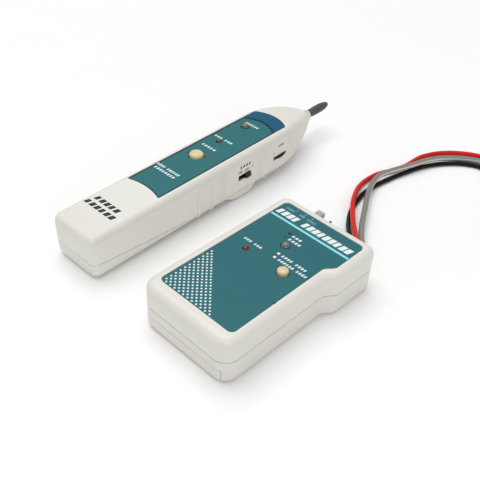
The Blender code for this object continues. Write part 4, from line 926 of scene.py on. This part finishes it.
words = barRow(-11.6, 9.2, 23.9, 3.4, (5,), 0.74, 0.3) + barRow(-13.4, 11.8, 18.5, 3.4, (6,), 0.74, 0.3)
inkShapes("probeTitleBars", words, top, "padInkBlack", "probe", probePlace)
marks = barRow(-12.8, 6.2, 70.0, 1.7, (4, 6)) + barRow(-11.4, 6.0, 66.7, 1.7, (8,))
marks += barRow(-9.4, 2.6, 102.7, 1.6, (5,)) + barRow(-10.8, 4.2, 115.0, 1.6, (3, 3))
marks += barRow(-7.6, 3.4, 139.0, 1.6, (6,))
inkShapes("probeLegendBars", marks, filmTop, "screenInkWhite", "probe", probePlace)
# side legends stand on the +X wall, so they are drawn flat and turned up
upright = probePlace @ Matrix(((0, 0, 1, 0), (1, 0, 0, 0), (0, 1, 0, 0), (0, 0, 0, 1)))
sideMarks = barRow(109.2, 119.4, 18.6, 1.5, (4,)) + barRow(107.6, 111.6, 15.6, 1.3, (3,))
sideMarks += barRow(113.2, 117.0, 15.4, 1.3, (3,)) + barRow(143.4, 148.9, 18.6, 1.3, (3,))
sideMarks += [disc(119.9, 16.4, 0.45), disc(139.3, 15.6, 0.45)]
inkShapes("probeSideLegend", sideMarks, tracer["side"], "padInkBlack", "probe", upright)
print("tracer controls and printing made")

# ---- CAD solids that stay, with their real finish
carried = {
    "etchedFibreglassGreen": ["gen_circuit_board", "probe_circuit_board"],
    "mouldedNylonBlack": ["gen_tone_switch", "gen_function_switch", "gen_tone_chip", "gen_battery_snap",
                          "probe_trace_switch", "probe_amp_chip", "probe_volume_control",
                          "probe_battery_snap"],
    "lacqueredSteelJacket": ["gen_battery", "probe_battery"],
    "platedNickelSteel": ["gen_screw_left", "gen_screw_right", "probe_screw_rear", "probe_screw_front"]
    + [f"{c}_clip_{k}" for c in ("red", "black") for k in ("base", "jaw", "pin", "spring")],
    "pressedPaperDark": ["probe_speaker"],
    "mouldedPolycarbonateClear": ["grey_lead_plug"],
}
for material, names in carried.items():
    for name in names:
        nodes[name].data.materials.clear()
        nodes[name].data.materials.append(stuff[material])


# ---- studio
def makeArea(name, place, aim, size, power, tint="#FFFFFF"):
    data = bpy.data.lights.new(name, "AREA")
    data.shape = "RECTANGLE"
    data.size, data.size_y = size
    data.energy = power
    data.color = hexToLinear(tint)[:3]
    lamp = bpy.data.objects.new(name, data)
    bpy.context.scene.collection.objects.link(lamp)
    lamp.location = place
    lamp.rotation_euler = (Vector(aim) - Vector(place)).to_track_quat("-Z", "Y").to_euler()


studio = {"floor": 3.0, "drop": 0.1, "sky": 0.50,
          "key": ((-0.75, 0.15, 2.60), (-0.02, 0.03, 0.0), (2.2, 2.2), 45.0),
          "fill": ((0.85, -0.50, 0.60), (-0.02, 0.0, 0.0), (0.9, 0.6), 2.2)}
floorMesh = bpy.data.meshes.new("studioFloor")
reach = studio["floor"]
floorMesh.from_pydata([(-reach, -reach, 0), (reach, -reach, 0), (reach, reach, 0), (-reach, reach, 0)], [],
                      [(0, 1, 2, 3)])
looks["paintedFloorWhite"] = {"colour": "#FAFAFA", "second": "#F7F7F7", "drift": 300.0, "grain": 3.0,
                              "depth": 0.01, "strength": 0.05, "rough": 0.85}
stuff["paintedFloorWhite"] = makeSurface("paintedFloorWhite", looks["paintedFloorWhite"])
studioFloor = linkPiece("studioFloor", floorMesh, "paintedFloorWhite")
studioFloor.location.z = -studio["drop"] * mm
makeArea("keySoftbox", *studio["key"])
makeArea("fillSoftbox", *studio["fill"])
world = bpy.data.worlds.new("studioWorld")
bpy.context.scene.world = world
world.use_nodes = True
world.node_tree.nodes["Background"].inputs["Color"].default_value = hexToLinear("#FFFFFF")
world.node_tree.nodes["Background"].inputs["Strength"].default_value = studio["sky"]
bpy.context.scene.view_settings.view_transform = "Standard"
print("studio made")
